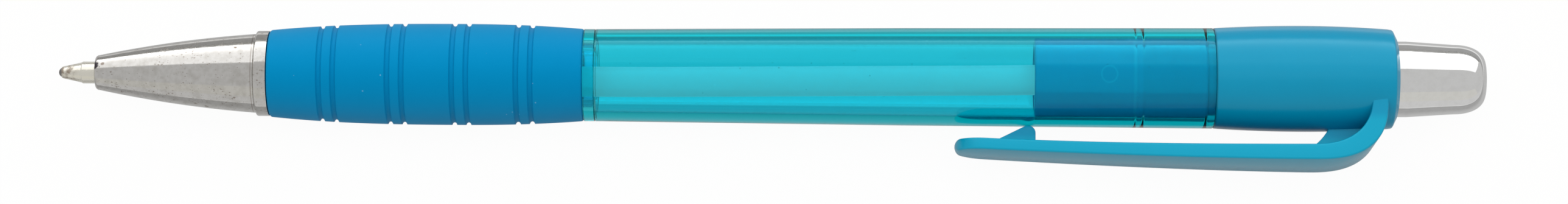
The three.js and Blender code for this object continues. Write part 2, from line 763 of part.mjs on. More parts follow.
/** Where the spring's wire goes, unrolled: its station, its way round, and its angle to the pen's axis. */
function springRoute() {
  const front = NOSE_SEAT_STATION + SEAT_GAP;
  const rear = flangeFront - SEAT_GAP;
  const stub = 2 * WIRE_RADIUS;
  const bend = 2 * WIRE_RADIUS;
  const round = 2 * Math.PI * coilRadius;
  const helixAngle = Math.atan2(round * SPRING_CURLS, rear - front - 2 * (stub + bend));
  const helixLength = rear - front - 2 * stub - 2 * bend * Math.sin(helixAngle);
  const bendWidth = bend * (1 - Math.cos(helixAngle));
  const bendEnd = front + stub + bend * Math.sin(helixAngle);
  const firstBend = steps(WIRE_BEND_STEPS).map((t) => ({
    station: front + stub + bend * Math.sin(helixAngle * t),
    way: bend * (1 - Math.cos(helixAngle * t)),
    angle: helixAngle * t,
  }));
  const helix = steps(SPRING_CURLS * CURL_STEPS).map((t) => ({
    station: bendEnd + helixLength * t,
    way: bendWidth + round * SPRING_CURLS * t,
    angle: helixAngle,
  }));
  const whole = 2 * bendWidth + round * SPRING_CURLS;
  const mirrored = ({ station, way, angle }) => ({
    station: front + rear - station,
    way: whole - way,
    angle,
  });
  return [
    { station: front, way: 0, angle: 0 },
    ...firstBend,
    ...helix.slice(1, -1),
    ...firstBend.map(mirrored).reverse(),
    { station: rear, way: whole, angle: 0 },
  ];
}

/** One ring of points round the wire. */
function wireRing({ station, way, angle }) {
  const turn = way / coilRadius;
  const axis = new THREE.Vector3(1, 0, 0);
  const outward = new THREE.Vector3(0, Math.cos(turn), Math.sin(turn));
  const sideways = new THREE.Vector3(0, -Math.sin(turn), Math.cos(turn));
  const across = sideways.multiplyScalar(Math.cos(angle)).addScaledVector(axis, -Math.sin(angle));
  const centre = outward.clone().multiplyScalar(coilRadius).addScaledVector(axis, station);
  return steps(WIRE_SIDES)
    .slice(1)
    .map((t) =>
      centre
        .clone()
        .addScaledVector(outward, WIRE_RADIUS * Math.cos(2 * Math.PI * t))
        .addScaledVector(across, WIRE_RADIUS * Math.sin(2 * Math.PI * t)),
    );
}

/** The return spring, one unbroken wire whose ends turn square onto their seats. */
function makeSpring(route) {
  const points = route.flatMap(wireRing);
  const index = [];
  for (let ring = 0; ring + 1 < route.length; ring++) {
    for (let side = 0; side < WIRE_SIDES; side++) {
      const here = ring * WIRE_SIDES;
      const next = (side + 1) % WIRE_SIDES;
      const [a, b, c, d] = [here + side, here + next, here + WIRE_SIDES + next, here + WIRE_SIDES + side];
      index.push(a, b, c, a, c, d);
    }
  }
  const last = points.length - WIRE_SIDES;
  for (let side = 1; side + 1 < WIRE_SIDES; side++) {
    index.push(0, side + 1, side);
    index.push(last, last + side, last + side + 1);
  }
  return solidFrom(new THREE.BufferGeometry().setFromPoints(points).setIndex(index));
}

/** Least open gap between neighbouring curls, measured on the points of the wire's middle line. */
function leastCurlGap(route) {
  const middles = route.map(({ station, way }) => {
    const turn = way / coilRadius;
    return { way, point: new THREE.Vector3(station, coilRadius * Math.cos(turn), coilRadius * Math.sin(turn)) };
  });
  const halfCurl = Math.PI * coilRadius;
  const gaps = middles.flatMap((one) =>
    middles
      .filter((other) => other.way - one.way > halfCurl)
      .map((other) => one.point.distanceTo(other.point) - 2 * WIRE_RADIUS),
  );
  return Math.min(...gaps);
}

// Finishes

/** A finish of the pen. */
function finish(color, roughness, metalness = 0, opacity = 1) {
  return new THREE.MeshStandardMaterial({
    color,
    roughness,
    metalness,
    opacity,
    transparent: opacity < 1,
  });
}

const chrome = finish(0xd8d8d6, 0.12, 1);
const rubber = finish(0x0f86bb, 0.75);
const aquaPlastic = finish(0x12b4c4, 0.15, 0, 0.55);
const bluePlastic = finish(0x1488ae, 0.38);
const tealPlastic = finish(0x1f7f98, 0.45);
const whitePlastic = finish(0xeceeea, 0.4);
const nickelSilver = finish(0xcfc6b0, 0.3, 0.85);
const springSteel = finish(0xb4b8bc, 0.3, 1);
const hardBall = finish(0x3a3634, 0.25, 0.6);
const blackInk = finish(0x17151c, 0.3);
const paleGrease = finish(0xd8cb96, 0.35);

// Assembly, along the pen's axis

const housing = new THREE.Group();
housing.add(
  piece("nose_cone", makeNoseCone(), chrome),
  piece("grip_sleeve", makeGrip(), rubber, noseRear + SEAT_GAP),
  piece("front_section", makeFrontSection(), aquaPlastic),
  piece("barrel_tube", makeBarrel(), aquaPlastic),
  piece("cap_body", makeCap(), bluePlastic),
);

const button = new THREE.Group();
button.add(
  piece("button_shell", makeButtonShell(), chrome),
  piece("plunger_core", makePlungerCore(), tealPlastic),
);

const refill = new THREE.Group();
refill.add(
  piece("writing_ball", makeBall(), hardBall, ballCentre),
  piece("refill_tip", makeRefillTip(), nickelSilver),
  piece("tip_holder", makeTipHolder(), whitePlastic),
  piece("refill_tube", tube(flangeRear + SEAT_GAP, refillRear, REFILL_RADIUS, refillBoreRadius), whitePlastic),
  piece("ink_column", tube(holderRear + SEAT_GAP, inkRear, refillBoreRadius - SEAT_GAP), blackInk),
  piece(
    "grease_plug",
    tube(inkRear + SEAT_GAP, inkRear + GREASE_LENGTH, refillBoreRadius - SEAT_GAP),
    paleGrease,
  ),
  piece("cam_rotor", makeRotor(), whitePlastic),
);

const route = springRoute();
const spring = piece("return_spring", makeSpring(route), springSteel);
console.log(`Least gap between the spring's curls: ${leastCurlGap(route).toFixed(2)} mm`);

// The pen rolls over its cap's crown until the edge of the clip meets the desk.
const clipEdge = Math.hypot(clipOuterHeight, CLIP_ROOT_WIDTH / 2);
const pen = new THREE.Group();
pen.add(housing, button, refill, spring);
pen.rotation.x = Math.asin(CAP_CROWN_RADIUS / clipEdge) - Math.atan2(CLIP_ROOT_WIDTH / 2, clipOuterHeight);

// The desk is at Z = 0, and the origin is under the middle of the pen.
const box = new THREE.Box3().setFromObject(pen, true);
pen.position.set(-(box.min.x + box.max.x) / 2, -(box.min.y + box.max.y) / 2, -box.min.z);

const desk = new THREE.Group();
desk.add(pen);

export default desk;
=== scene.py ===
"""A retractable ballpoint pen on a pale desk, under one large window-like softbox.

The pen lies on its cap and on the edge of its clip, in the writing position. Sizes are written in
millimetres along the pen: a station is a distance along its axis, counted from the front face of the
nose cone, and a height is a distance from the axis toward the clip.
"""

import logging
import math
from dataclasses import dataclass
from enum import Enum
from typing import Callable, Iterable, Sequence

import bmesh
import bpy
from mathutils import Matrix, Vector

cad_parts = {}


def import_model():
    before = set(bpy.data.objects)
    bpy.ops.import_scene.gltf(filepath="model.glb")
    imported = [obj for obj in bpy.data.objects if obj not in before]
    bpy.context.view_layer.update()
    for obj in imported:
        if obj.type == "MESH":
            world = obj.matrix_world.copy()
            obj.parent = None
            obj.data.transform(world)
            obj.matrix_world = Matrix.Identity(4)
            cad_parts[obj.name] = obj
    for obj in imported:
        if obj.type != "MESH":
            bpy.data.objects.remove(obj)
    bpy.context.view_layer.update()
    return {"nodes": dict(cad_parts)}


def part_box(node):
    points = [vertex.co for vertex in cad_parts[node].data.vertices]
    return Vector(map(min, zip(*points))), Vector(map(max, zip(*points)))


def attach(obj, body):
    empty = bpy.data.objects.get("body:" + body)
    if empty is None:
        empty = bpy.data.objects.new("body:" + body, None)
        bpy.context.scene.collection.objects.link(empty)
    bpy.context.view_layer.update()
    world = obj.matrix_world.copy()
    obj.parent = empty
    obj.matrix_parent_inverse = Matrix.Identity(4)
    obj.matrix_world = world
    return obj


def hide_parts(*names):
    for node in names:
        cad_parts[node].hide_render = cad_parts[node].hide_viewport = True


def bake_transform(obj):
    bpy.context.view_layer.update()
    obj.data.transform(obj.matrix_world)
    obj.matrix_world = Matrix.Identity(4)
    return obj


Point = tuple[float, float]
Outline = list[Point]
Color = tuple[float, float, float, float]
Object = bpy.types.Object
Node = bpy.types.Node
Socket = bpy.types.NodeSocket
Material = bpy.types.Material

MM = 0.001
QUARTER = math.pi / 2
PHOTO_WIDTH = 2576.0
PHOTO_HEIGHT = 335.0

log = logging.getLogger("pen")


class Ray(Enum):
    """The kinds of ray that a Light Path node tells apart."""

    CAMERA = "Is Camera Ray"
    SHADOW = "Is Shadow Ray"
    GLOSSY = "Is Glossy Ray"
    TRANSMISSION = "Is Transmission Ray"


class Roundness(Enum):
    """How many sides a turned piece gets."""

    FINE = 160
    PLAIN = 96
    SMALL = 64


class Body(Enum):
    """The bodies that move together."""

    HOUSING = "housing"
    BUTTON = "button"
    REFILL = "refill"
    BALL = "ball"


def rgb(red: float, green: float, blue: float) -> Color:
    """An opaque colour."""
    return red, green, blue, 1.0


WHITE = rgb(1.0, 1.0, 1.0)

# Outlines


def lerp(a: float, b: float, share: float) -> float:
    """The value a share of the way from a to b."""
    return a + (b - a) * share


def steps(count: int) -> list[float]:
    """Values from 0 to 1 in equal steps, both ends counted."""
    return [i / count for i in range(count + 1)]


def along(front: float, rear: float, count: int, radius_at: Callable[[float], float]) -> Outline:
    """Points of an outline between two stations, with the radius that a function gives for each."""
    return [(s, radius_at(s)) for s in (lerp(front, rear, t) for t in steps(count))]


def stairs(*sizes: float) -> Outline:
    """Points of a stepped outline, from its radii with the station of each step between them."""
    radii, stations = sizes[::2], sizes[1::2]
    return [(s, r) for s, *both in zip(stations, radii, radii[1:]) for r in both]


def arc(centre: float, size: float, start: float, end: float, count: int, height: float = 0.0) -> Outline:
    """Points round a centre on the axis or above it, from one angle to another."""
    turns = (lerp(start, end, t) for t in steps(count))
    return [(centre + size * math.cos(a), height + size * math.sin(a)) for a in turns]


def curve(a: Vector, b: Vector, c: Vector, count: int) -> Outline:
    """Points of a curve from a to c, pulled toward b."""
    return [tuple(a * (1 - t) ** 2 + b * 2 * t * (1 - t) + c * t**2) for t in steps(count)]


def rounded(outline: Sequence[Point], sizes: dict[int, float], count: int = 6) -> Outline:
    """An outline with some of its corners rounded.

    Args:
        outline: the points, with square corners.
        sizes: the round's size for the index of each corner that gets one.
        count: the number of steps in each round.

    Returns:
        The new points.
    """
    made: Outline = []
    for i, point in enumerate(outline):
        if i not in sizes:
            made.append(point)
            continue
        here = Vector(point)
        before = Vector(outline[i - 1]) - here
        after = Vector(outline[(i + 1) % len(outline)]) - here
        size = min(sizes[i], 0.49 * before.length, 0.49 * after.length)
        made += curve(here + before.normalized() * size, here, here + after.normalized() * size, count)
    return made


@dataclass(frozen=True)
class Lie:
    """Where the pen lies in the frame: the front end of its axis, and its roll about it."""

    front: Vector
    roll: float

    def point(self, station: float, side: float = 0.0, up: float = 0.0) -> Vector:
        """A point of the pen in metres, from millimetres before the pen rolls onto its clip.

        Args:
            station: its place along the axis.
            side: how far it lies toward +Y.
            up: how far toward +Z.

        Returns:
            The point in the frame.
        """
        y = side * math.cos(self.roll) - up * math.sin(self.roll)
        z = side * math.sin(self.roll) + up * math.cos(self.roll)
        return self.front + Vector((station, y, z)) * MM


# Meshes


def new_object(name: str, data: bpy.types.ID) -> Object:
    """An object at the origin that shows a mesh, a lamp or a camera.

    Args:
        name: its name.
        data: what it shows.

    Returns:
        The object.
    """
    made = bpy.data.objects.new(name, data)
    bpy.context.scene.collection.objects.link(made)
    return made


def new_mesh(name: str, verts: Sequence[Vector], faces: Sequence[Sequence[int]]) -> bpy.types.Mesh:
    """A mesh from its points and faces.

    Args:
        name: its name.
        verts: its points.
        faces: the corners of each face.

    Returns:
        The mesh.
    """
    mesh = bpy.data.meshes.new(name)
    mesh.from_pydata(verts, [], faces)
    return mesh


def shade(mesh: bpy.types.Mesh, sharp_degrees: float = 32.0) -> None:
    """Shades a mesh smooth up to an angle."""
    mesh.shade_smooth()
    mesh.set_sharp_from_angle(angle=math.radians(sharp_degrees))


def finish_mesh(mesh: bpy.types.Mesh, sharp_degrees: float = 32.0) -> None:
    """Merges doubles, turns the faces out and shades a mesh smooth up to an angle.

    Args:
        mesh: the mesh.
        sharp_degrees: edges stay sharp from this angle on.
    """
    work = bmesh.new()
    work.from_mesh(mesh)
    bmesh.ops.remove_doubles(work, verts=work.verts, dist=1e-8)
    bmesh.ops.recalc_face_normals(work, faces=work.faces)
    work.to_mesh(mesh)
    work.free()
    shade(mesh, sharp_degrees)


def solid(name: str, verts: Sequence[Vector], faces: Sequence[Sequence[int]]) -> Object:
    """A closed piece from its points and faces.

    Args:
        name: its name.
        verts: its points.
        faces: the corners of each face.

    Returns:
        The piece.
    """
    mesh = new_mesh(name, verts, faces)
    finish_mesh(mesh)
    return new_object(name, mesh)


def bridge(near: Sequence[int], far: Sequence[int]) -> list[list[int]]:
    """The faces between two rings of points. A ring on the axis is one point, repeated.

    Args:
        near: the numbers of one ring's points.
        far: the numbers of the other's.

    Returns:
        The corners of each face.
    """
    faces = []
    for i in range(len(near)):
        j = (i + 1) % len(near)
        corners = list(dict.fromkeys((near[i], near[j], far[j], far[i])))
        if len(corners) > 2:
            faces.append(corners)
    return faces


def turned(name: str, lie: Lie, outline: Sequence[Point], sides: Roundness = Roundness.FINE) -> Object:
    """A piece turned about the pen's axis.

    Args:
        name: the piece's name.
        lie: where the pen lies.
        outline: the outside from front to rear, then back along the bore; it starts on the axis
            where the piece has no bore.
        sides: how round it is.

    Returns:
        The piece, closed, with its place in its mesh.
    """
    count = sides.value
    verts: list[Vector] = []
    rings: list[list[int]] = []
    for station, radius in outline:
        first = len(verts)
        if radius <= 0:
            rings.append([first] * count)
            verts.append(lie.point(station))
            continue
        rings.append(list(range(first, first + count)))
        for i in range(count):
            turn = 2 * math.pi * i / count
            verts.append(lie.point(station, radius * math.cos(turn), radius * math.sin(turn)))
    closing = rings[:1] if outline[0][1] > 0 else []
    faces = [face for near, far in zip(rings, rings[1:] + closing) for face in bridge(near, far)]
    return solid(name, verts, faces)


def plate(name: str, lie: Lie, outline: Sequence[Point], thickness: float, edge: float) -> Object:
    """A flat plate in the pen's middle plane with rounded edges.

    Args:
        name: the piece's name.
        lie: where the pen lies.
        outline: (station, height) points.
        thickness: the plate's thickness.
        edge: the size of the round on its edges.

    Returns:
        The plate.
    """
    count = len(outline)
    near, far = range(count), range(count, 2 * count)
    verts = [lie.point(s, -h, z) for z in (-thickness / 2, thickness / 2) for s, h in outline]
    piece = solid(name, verts, [list(near), list(far)[::-1], *bridge(near, far)])
    bevel = piece.modifiers.new("edges", "BEVEL")
    bevel.width = edge * MM
    bevel.segments = 3
    bevel.limit_method = "ANGLE"
    bevel.angle_limit = math.radians(60)
    return as_plain_mesh(piece)


def as_plain_mesh(piece: Object) -> Object:
    """Turns what a piece's modifiers make into its own plain mesh and removes them.

    Args:
        piece: the piece.

    Returns:
        The same piece.
    """
    bpy.context.view_layer.update()
    evaluated = piece.evaluated_get(bpy.context.evaluated_depsgraph_get())
    made = bpy.data.meshes.new_from_object(evaluated)
    made.name = piece.name
    old = piece.data
    piece.modifiers.clear()
    piece.data = made
    bpy.data.meshes.remove(old)
    return piece


def combine(piece: Object, other: Object, operation: str) -> Object:
    """Joins another piece to this one, or cuts it away, and removes the other.

    Args:
        piece: the piece that stays.
        other: the piece that goes.
        operation: UNION or DIFFERENCE.

    Returns:
        The piece.
    """
    join = piece.modifiers.new("join", "BOOLEAN")
    join.object = other
    join.operation = operation
    join.solver = "MANIFOLD"
    as_plain_mesh(piece)
    bpy.data.objects.remove(other)
    return piece


# Shader nodes


class Tree:
    """A node tree with short ways to add nodes and links."""

    def __init__(self, tree: bpy.types.NodeTree) -> None:
        """Keeps the tree."""
        self.tree = tree

    def put(self, socket: Socket, value: object) -> None:
        """Links a socket where the value is one, and otherwise sets it.

        Args:
            socket: the input.
            value: an output socket or a plain value.
        """
        if isinstance(value, bpy.types.NodeSocket):
            self.tree.links.new(value, socket)
        else:
            socket.default_value = value

    def node(self, kind: str, inputs: dict[str | int, object] | None = None, **settings: object) -> Node:
        """Adds a node.

        Args:
            kind: the node's type, without the prefix of shader nodes.
            inputs: values or sockets for its inputs, by name or index.
            settings: attributes of the node by name.

        Returns:
            The node.
        """
        prefix = "" if kind.startswith(("NodeGroup", "GeometryNode")) else "ShaderNode"
        made = self.tree.nodes.new(prefix + kind)
        for name, value in settings.items():
            setattr(made, name, value)
        for name, value in (inputs or {}).items():
            self.put(made.inputs[name], value)
        return made

    def result(self, kind: str, socket: str | int, **inputs: object) -> Socket:
        """One output of a new node, with _ in place of spaces in the names of its inputs."""
        return self.node(kind, {name.replace("_", " "): v for name, v in inputs.items()}).outputs[socket]

    def math(self, operation: str, a: object, b: object = 0.0, clamp: bool = False) -> Socket:
        """The result of a sum on two values or sockets."""
        return self.node("Math", {0: a, 1: b}, operation=operation, use_clamp=clamp).outputs[0]

    def times(self, a: object, b: object) -> Socket:
        """The product of two values or sockets."""
        return self.math("MULTIPLY", a, b)

    def plus(self, a: object, b: object) -> Socket:
        """The sum of two values or sockets."""
        return self.math("ADD", a, b)

    def minus(self, a: object, b: object) -> Socket:
        """The difference of two values or sockets."""
        return self.math("SUBTRACT", a, b)

    def apart(self, a: object, b: object) -> Socket:
        """How far two values lie apart."""
        return self.math("ABSOLUTE", self.minus(a, b))

    def vector(self, operation: str, a: object, b: object = (0.0, 0.0, 0.0)) -> Socket:
        """The result of a sum on two vectors."""
        made = self.node("VectorMath", {0: a, 1: b}, operation=operation)
        return made.outputs["Value" if operation in ("LENGTH", "DISTANCE") else "Vector"]

    def part(self, place: Socket, axis: str) -> Socket:
        """One coordinate of a place."""
        return self.result("SeparateXYZ", axis, Vector=place)

    def stretch(self, place: Socket, share: float) -> Socket:
        """A place whose patterns come out longer along the pen."""
        return self.result("Mapping", "Vector", Vector=place, Scale=(share, 1.0, 1.0))

    def off_axis(self, place: Socket) -> Socket:
        """The part of a place that points away from the X axis."""
        return self.vector("MULTIPLY", place, (0.0, 1.0, 1.0))

    def mix(self, share: object, a: object, b: object) -> Socket:
        """A colour between a and b.

        Args:
            share: how much there is of b.
            a: the colour at 0.
            b: the colour at 1.

        Returns:
            The mixed colour.
        """
        made = self.node("Mix", {0: share}, data_type="RGBA")
        for socket, value in zip((s for s in made.inputs if s.type == "RGBA"), (a, b)):
            self.put(socket, value)
        return next(s for s in made.outputs if s.type == "RGBA")

    def mix_shaders(self, share: object, a: Node, b: Node) -> Socket:
        """A shader between a and b."""
        return self.node("MixShader", {0: share, 1: a.outputs[0], 2: b.outputs[0]}).outputs[0]

    def ramp(self, value: Socket, low: float, high: float) -> Socket:
        """0 below low and 1 above high, with a smooth step between."""
        ends = {"Value": value, "From Min": low, "From Max": high}
        return self.node("MapRange", ends, interpolation_type="SMOOTHSTEP").outputs["Result"]

    def near(self, value: Socket, low: float, high: float) -> Socket:
        """1 below low and 0 above high, with a smooth step between."""
        return self.minus(1.0, self.ramp(value, low, high))

    def noise(self, place: object, scale: object, detail: float = 3.0) -> Socket:
        """Noise on a place in millimetres, at so many lumps to the millimetre."""
        return self.result("TexNoise", "Fac", Vector=place, Scale=scale, Detail=detail)

    def rays(self) -> dict[Ray, Socket]:
        """What tells the kinds of ray apart."""
        paths = self.node("LightPath").outputs
        return {ray: paths[ray.value] for ray in Ray}


class Effect(Tree):
    """A group of shader nodes that reads a place and gives values."""

    def __init__(self, name: str, inputs: dict[str, float], outputs: Iterable[str]) -> None:
        """Makes the group with its sockets.

        Args:
            name: the group's name.
            inputs: named values with their defaults.
            outputs: the names of what it gives.
        """
        super().__init__(bpy.data.node_groups.new(name, "ShaderNodeTree"))
        face = self.tree.interface
        face.new_socket("Place", in_out="INPUT", socket_type="NodeSocketVector")
        for socket, value in inputs.items():
            face.new_socket(socket, in_out="INPUT", socket_type="NodeSocketFloat").default_value = value
        for socket in outputs:
            face.new_socket(socket, in_out="OUTPUT", socket_type="NodeSocketFloat")
        self.given = self.node("NodeGroupInput").outputs
        self.place = self.given["Place"]
        self.out = self.node("NodeGroupOutput").inputs


class Effects:
    """Surface effects that several materials share, each a group of shader nodes."""

    def __init__(self) -> None:
        """Builds the groups once."""
        self.grain = self._grain()
        self.pits = self._pits()
        self.smears = self._smears()
        self.band = self._band()

    def _grain(self) -> bpy.types.NodeTree:
        """Fine moulded grain: a height and a small change of roughness.

        Returns:
            The group.
        """
        g = Effect("fine_grain", {"Scale": 4.0, "Unevenness": 0.3}, ("Height", "Value"))
        fine = g.noise(g.place, g.given["Scale"], 4.0)
        uneven = g.times(g.minus(g.noise(g.place, 0.35), 0.5), g.given["Unevenness"])
        g.put(g.out["Height"], fine)
        g.put(g.out["Value"], g.plus(g.times(fine, 0.2), uneven))
        return g.tree

    def _pits(self) -> bpy.types.NodeTree:
        """Small scattered pits in plating: dark centres in patches, and a cloud of haze.

        Returns:
            The group.
        """
        g = Effect("tarnish_pits", {"Scale": 2.2, "Amount": 0.5}, ("Pits", "Cloud"))
        wobble = g.result("TexNoise", "Color", Vector=g.place, Scale=6.0)
        bends = {0: wobble, 1: (0.16, 0.16, 0.16), 2: g.stretch(g.place, 0.65)}
        bent = g.node("VectorMath", bends, operation="MULTIPLY_ADD").outputs[0]
        cells = g.node("TexVoronoi", {"Vector": bent, "Scale": g.given["Scale"]}).outputs
        size = g.node("SeparateColor", {0: cells["Color"]}).outputs[0]
        patches = g.ramp(g.noise(g.place, 0.5, 2.0), 0.36, 0.72)
        reach = g.times(g.times(g.math("POWER", size, 4.0), 0.34), g.given["Amount"])
        reach = g.times(reach, g.plus(patches, 0.6))
        g.put(g.out["Pits"], g.ramp(g.minus(reach, cells["Distance"]), -0.06, 0.09))
        g.put(g.out["Cloud"], g.ramp(g.noise(g.place, 1.3, 5.0), 0.42, 0.72))
        return g.tree

    def _smears(self) -> bpy.types.NodeTree:
        """Finger marks and dust: faint streaks along the pen and a few specks.

        Returns:
            The group.
        """
        g = Effect("handling_marks", {"Amount": 0.5}, ("Smear", "Specks"))
        streak = g.ramp(g.noise(g.stretch(g.place, 0.12), 1.1, 4.0), 0.45, 0.75)
        dust = g.result("TexVoronoi", "Distance", Vector=g.place, Scale=0.55)
        g.put(g.out["Smear"], g.times(streak, g.given["Amount"]))
        g.put(g.out["Specks"], g.times(g.math("LESS_THAN", dust, 0.042), g.given["Amount"]))
        return g.tree

    def _band(self) -> bpy.types.NodeTree:
        """1 between two stations, with soft edges.

        Returns:
            The group.
        """
        g = Effect("station_band", {"Front": 0.0, "Rear": 1.0, "Softness": 0.2}, ("Band",))
        station = g.part(g.place, "X")
        soft = g.given["Softness"]
        behind = g.math("DIVIDE", g.minus(station, g.given["Front"]), soft, True)
        ahead = g.math("DIVIDE", g.minus(g.given["Rear"], station), soft, True)
        g.put(g.out["Band"], g.times(behind, ahead))
        return g.tree


class Surface(Tree):
    """A material with a Principled shader and places in millimetres along the pen."""

    def __init__(self, name: str, lie: Lie) -> None:
        """Makes the material and its place node.

        Args:
            name: the material's name.
            lie: where the pen lies.
        """
        self.material = bpy.data.materials.new(name)
        self.material.use_nodes = True
        super().__init__(self.material.node_tree)
        self.tree.nodes.clear()
        self.shader = self.node("BsdfPrincipled")
        self.output = self.node("OutputMaterial", {"Surface": self.shader.outputs[0]})
        metres, scale = self.result("TexCoord", "Object"), (1 / MM, 1 / MM, 1 / MM)
        start = tuple(-c / MM for c in lie.front)
        self.place = self.result("Mapping", "Vector", Vector=metres, Scale=scale, Location=start)
        self.station = self.part(self.place, "X")

    def set(self, **values: object) -> None:
        """Sets or links sockets of the shader, with _ in place of spaces in their names."""
        for name, value in values.items():
            self.put(self.shader.inputs[name.replace("_", " ")], value)

    def effect(self, group: bpy.types.NodeTree, **values: float) -> bpy.types.bpy_prop_collection:
        """Places a shared effect with its named values, and returns what it gives."""
        return self.node("Group", {"Place": self.place, **values}, node_tree=group).outputs

    def bump(self, height: Socket, distance_mm: float, strength: float = 1.0) -> None:
        """Raises the surface by a height."""
        raised = self.result("Bump", "Normal", Strength=strength, Distance=distance_mm * MM, Height=height)
        self.set(Normal=raised)


# Finishes


@dataclass(frozen=True)
class Plating:
    """Bright chrome plating, with tarnish pits and an optional painted shade line in a crease."""

    name: str
    color: Color
    roughness: float
    pits: float
    stain: Color = rgb(0.20, 0.14, 0.10)
    haze: Color = rgb(0.52, 0.50, 0.46)
    pit_depth: float = 0.75
    crease_shade: float | None = None
    crease_shade_half_width: float = 0.07
    blot: tuple[float, float, float] | None = None
    blot_radius: float = 0.5
    blot_color: Color = rgb(0.012, 0.006, 0.012)

    def make(self, lie: Lie, effects: Effects) -> Material:
        """The material.

        Args:
            lie: where the pen lies.
            effects: the shared effects.

        Returns:
            The material.
        """
        s = Surface(self.name, lie)
        large = s.effect(effects.pits, Scale=1.5, Amount=0.46 * self.pits)
        small = s.effect(effects.pits, Scale=3.2, Amount=0.55 * self.pits)["Pits"]
        tiny = s.effect(effects.pits, Scale=7.0, Amount=0.9 * self.pits)["Pits"]
        smear = s.effect(effects.smears, Amount=0.4)["Smear"]
        pits = s.math("MAXIMUM", large["Pits"], s.times(small, 0.7))
        pits = s.math("MAXIMUM", pits, s.times(tiny, 0.75))
        age = min(self.pits, 1.0)
        cloud = s.times(large["Cloud"], 0.45 * age)
        mottle = s.times(s.ramp(s.noise(s.place, 2.4, 4.0), 0.42, 0.62), 0.22 * age)
        color = s.mix(mottle, s.mix(cloud, self.color, self.haze), self.haze)
        color = s.mix(s.times(pits, self.pit_depth), color, self.stain)
        # painted shade: a dark line in the crease in front of the nose's ring
        if self.crease_shade:
            front, rear = self.crease_shade - self.crease_shade_half_width, self.crease_shade + self.crease_shade_half_width
            line = s.effect(effects.band, Front=front, Rear=rear, Softness=0.05)["Band"]
            color = s.mix(s.times(line, 0.5), color, self.stain)
        if self.blot:
            ragged = s.times(s.noise(s.place, 3.0), 0.5)
            far = s.plus(s.vector("DISTANCE", s.place, self.blot), ragged)
            ink = s.near(far, self.blot_radius, self.blot_radius + 0.2)
            color = s.mix(ink, color, self.blot_color)
            s.set(Metallic=s.minus(1.0, ink))
        else:
            s.set(Metallic=1.0)
        rough = s.plus(s.plus(s.times(cloud, 0.22), self.roughness), s.times(smear, 0.05))
        s.set(Base_Color=color, Roughness=s.math("ADD", rough, s.times(pits, 0.3), True))
        s.bump(s.minus(1.0, pits), 0.006, 0.3)
        return s.material


@dataclass(frozen=True)
class Moulding:
    """Opaque plastic or rubber with moulded grain, and an optional painted glow."""

    name: str
    color: Color
    shade: Color
    roughness: float
    grain_scale: float
    grain_depth_mm: float
    specular: float = 0.5
    tint: Color = WHITE
    milkiness: float = 0.0
    # painted glow: emission that makes a piece shine though it is no lamp
    painted_glow: float = 0.0
    dust: Color = rgb(0.6, 0.85, 0.9)

    def make(self, lie: Lie, effects: Effects) -> Material:
        """The material.

        Args:
            lie: where the pen lies.
            effects: the shared effects.

        Returns:
            The material.
        """
        s = Surface(self.name, lie)
        grain = s.effect(effects.grain, Scale=self.grain_scale, Unevenness=0.5)
        marks = s.effect(effects.smears, Amount=0.35)
        plain = s.mix(grain["Value"], self.color, self.shade)
        rough = s.plus(s.times(grain["Value"], 0.12), s.times(marks["Smear"], 0.06))
        s.set(
            Base_Color=self.paint(s, s.mix(s.times(marks["Specks"], 0.5), plain, self.dust)),
            Roughness=s.math("ADD", rough, self.smooth(s), True),
            Specular_IOR_Level=self.specular,
            Specular_Tint=self.tint,
            Emission_Color=WHITE,
            Emission_Strength=self.painted_glow,
            Subsurface_Weight=self.milkiness,
            Subsurface_Radius=(1.0, 1.0, 1.0),
            Subsurface_Scale=MM,
        )
        s.bump(grain["Height"], self.grain_depth_mm, 0.6)
        return s.material

    def paint(self, s: Surface, color: Socket) -> Socket:
        """The colour with what is special to the piece, which is nothing here."""
        return color

    def smooth(self, s: Surface) -> object:
        """The roughness before grain and marks."""
        return self.roughness


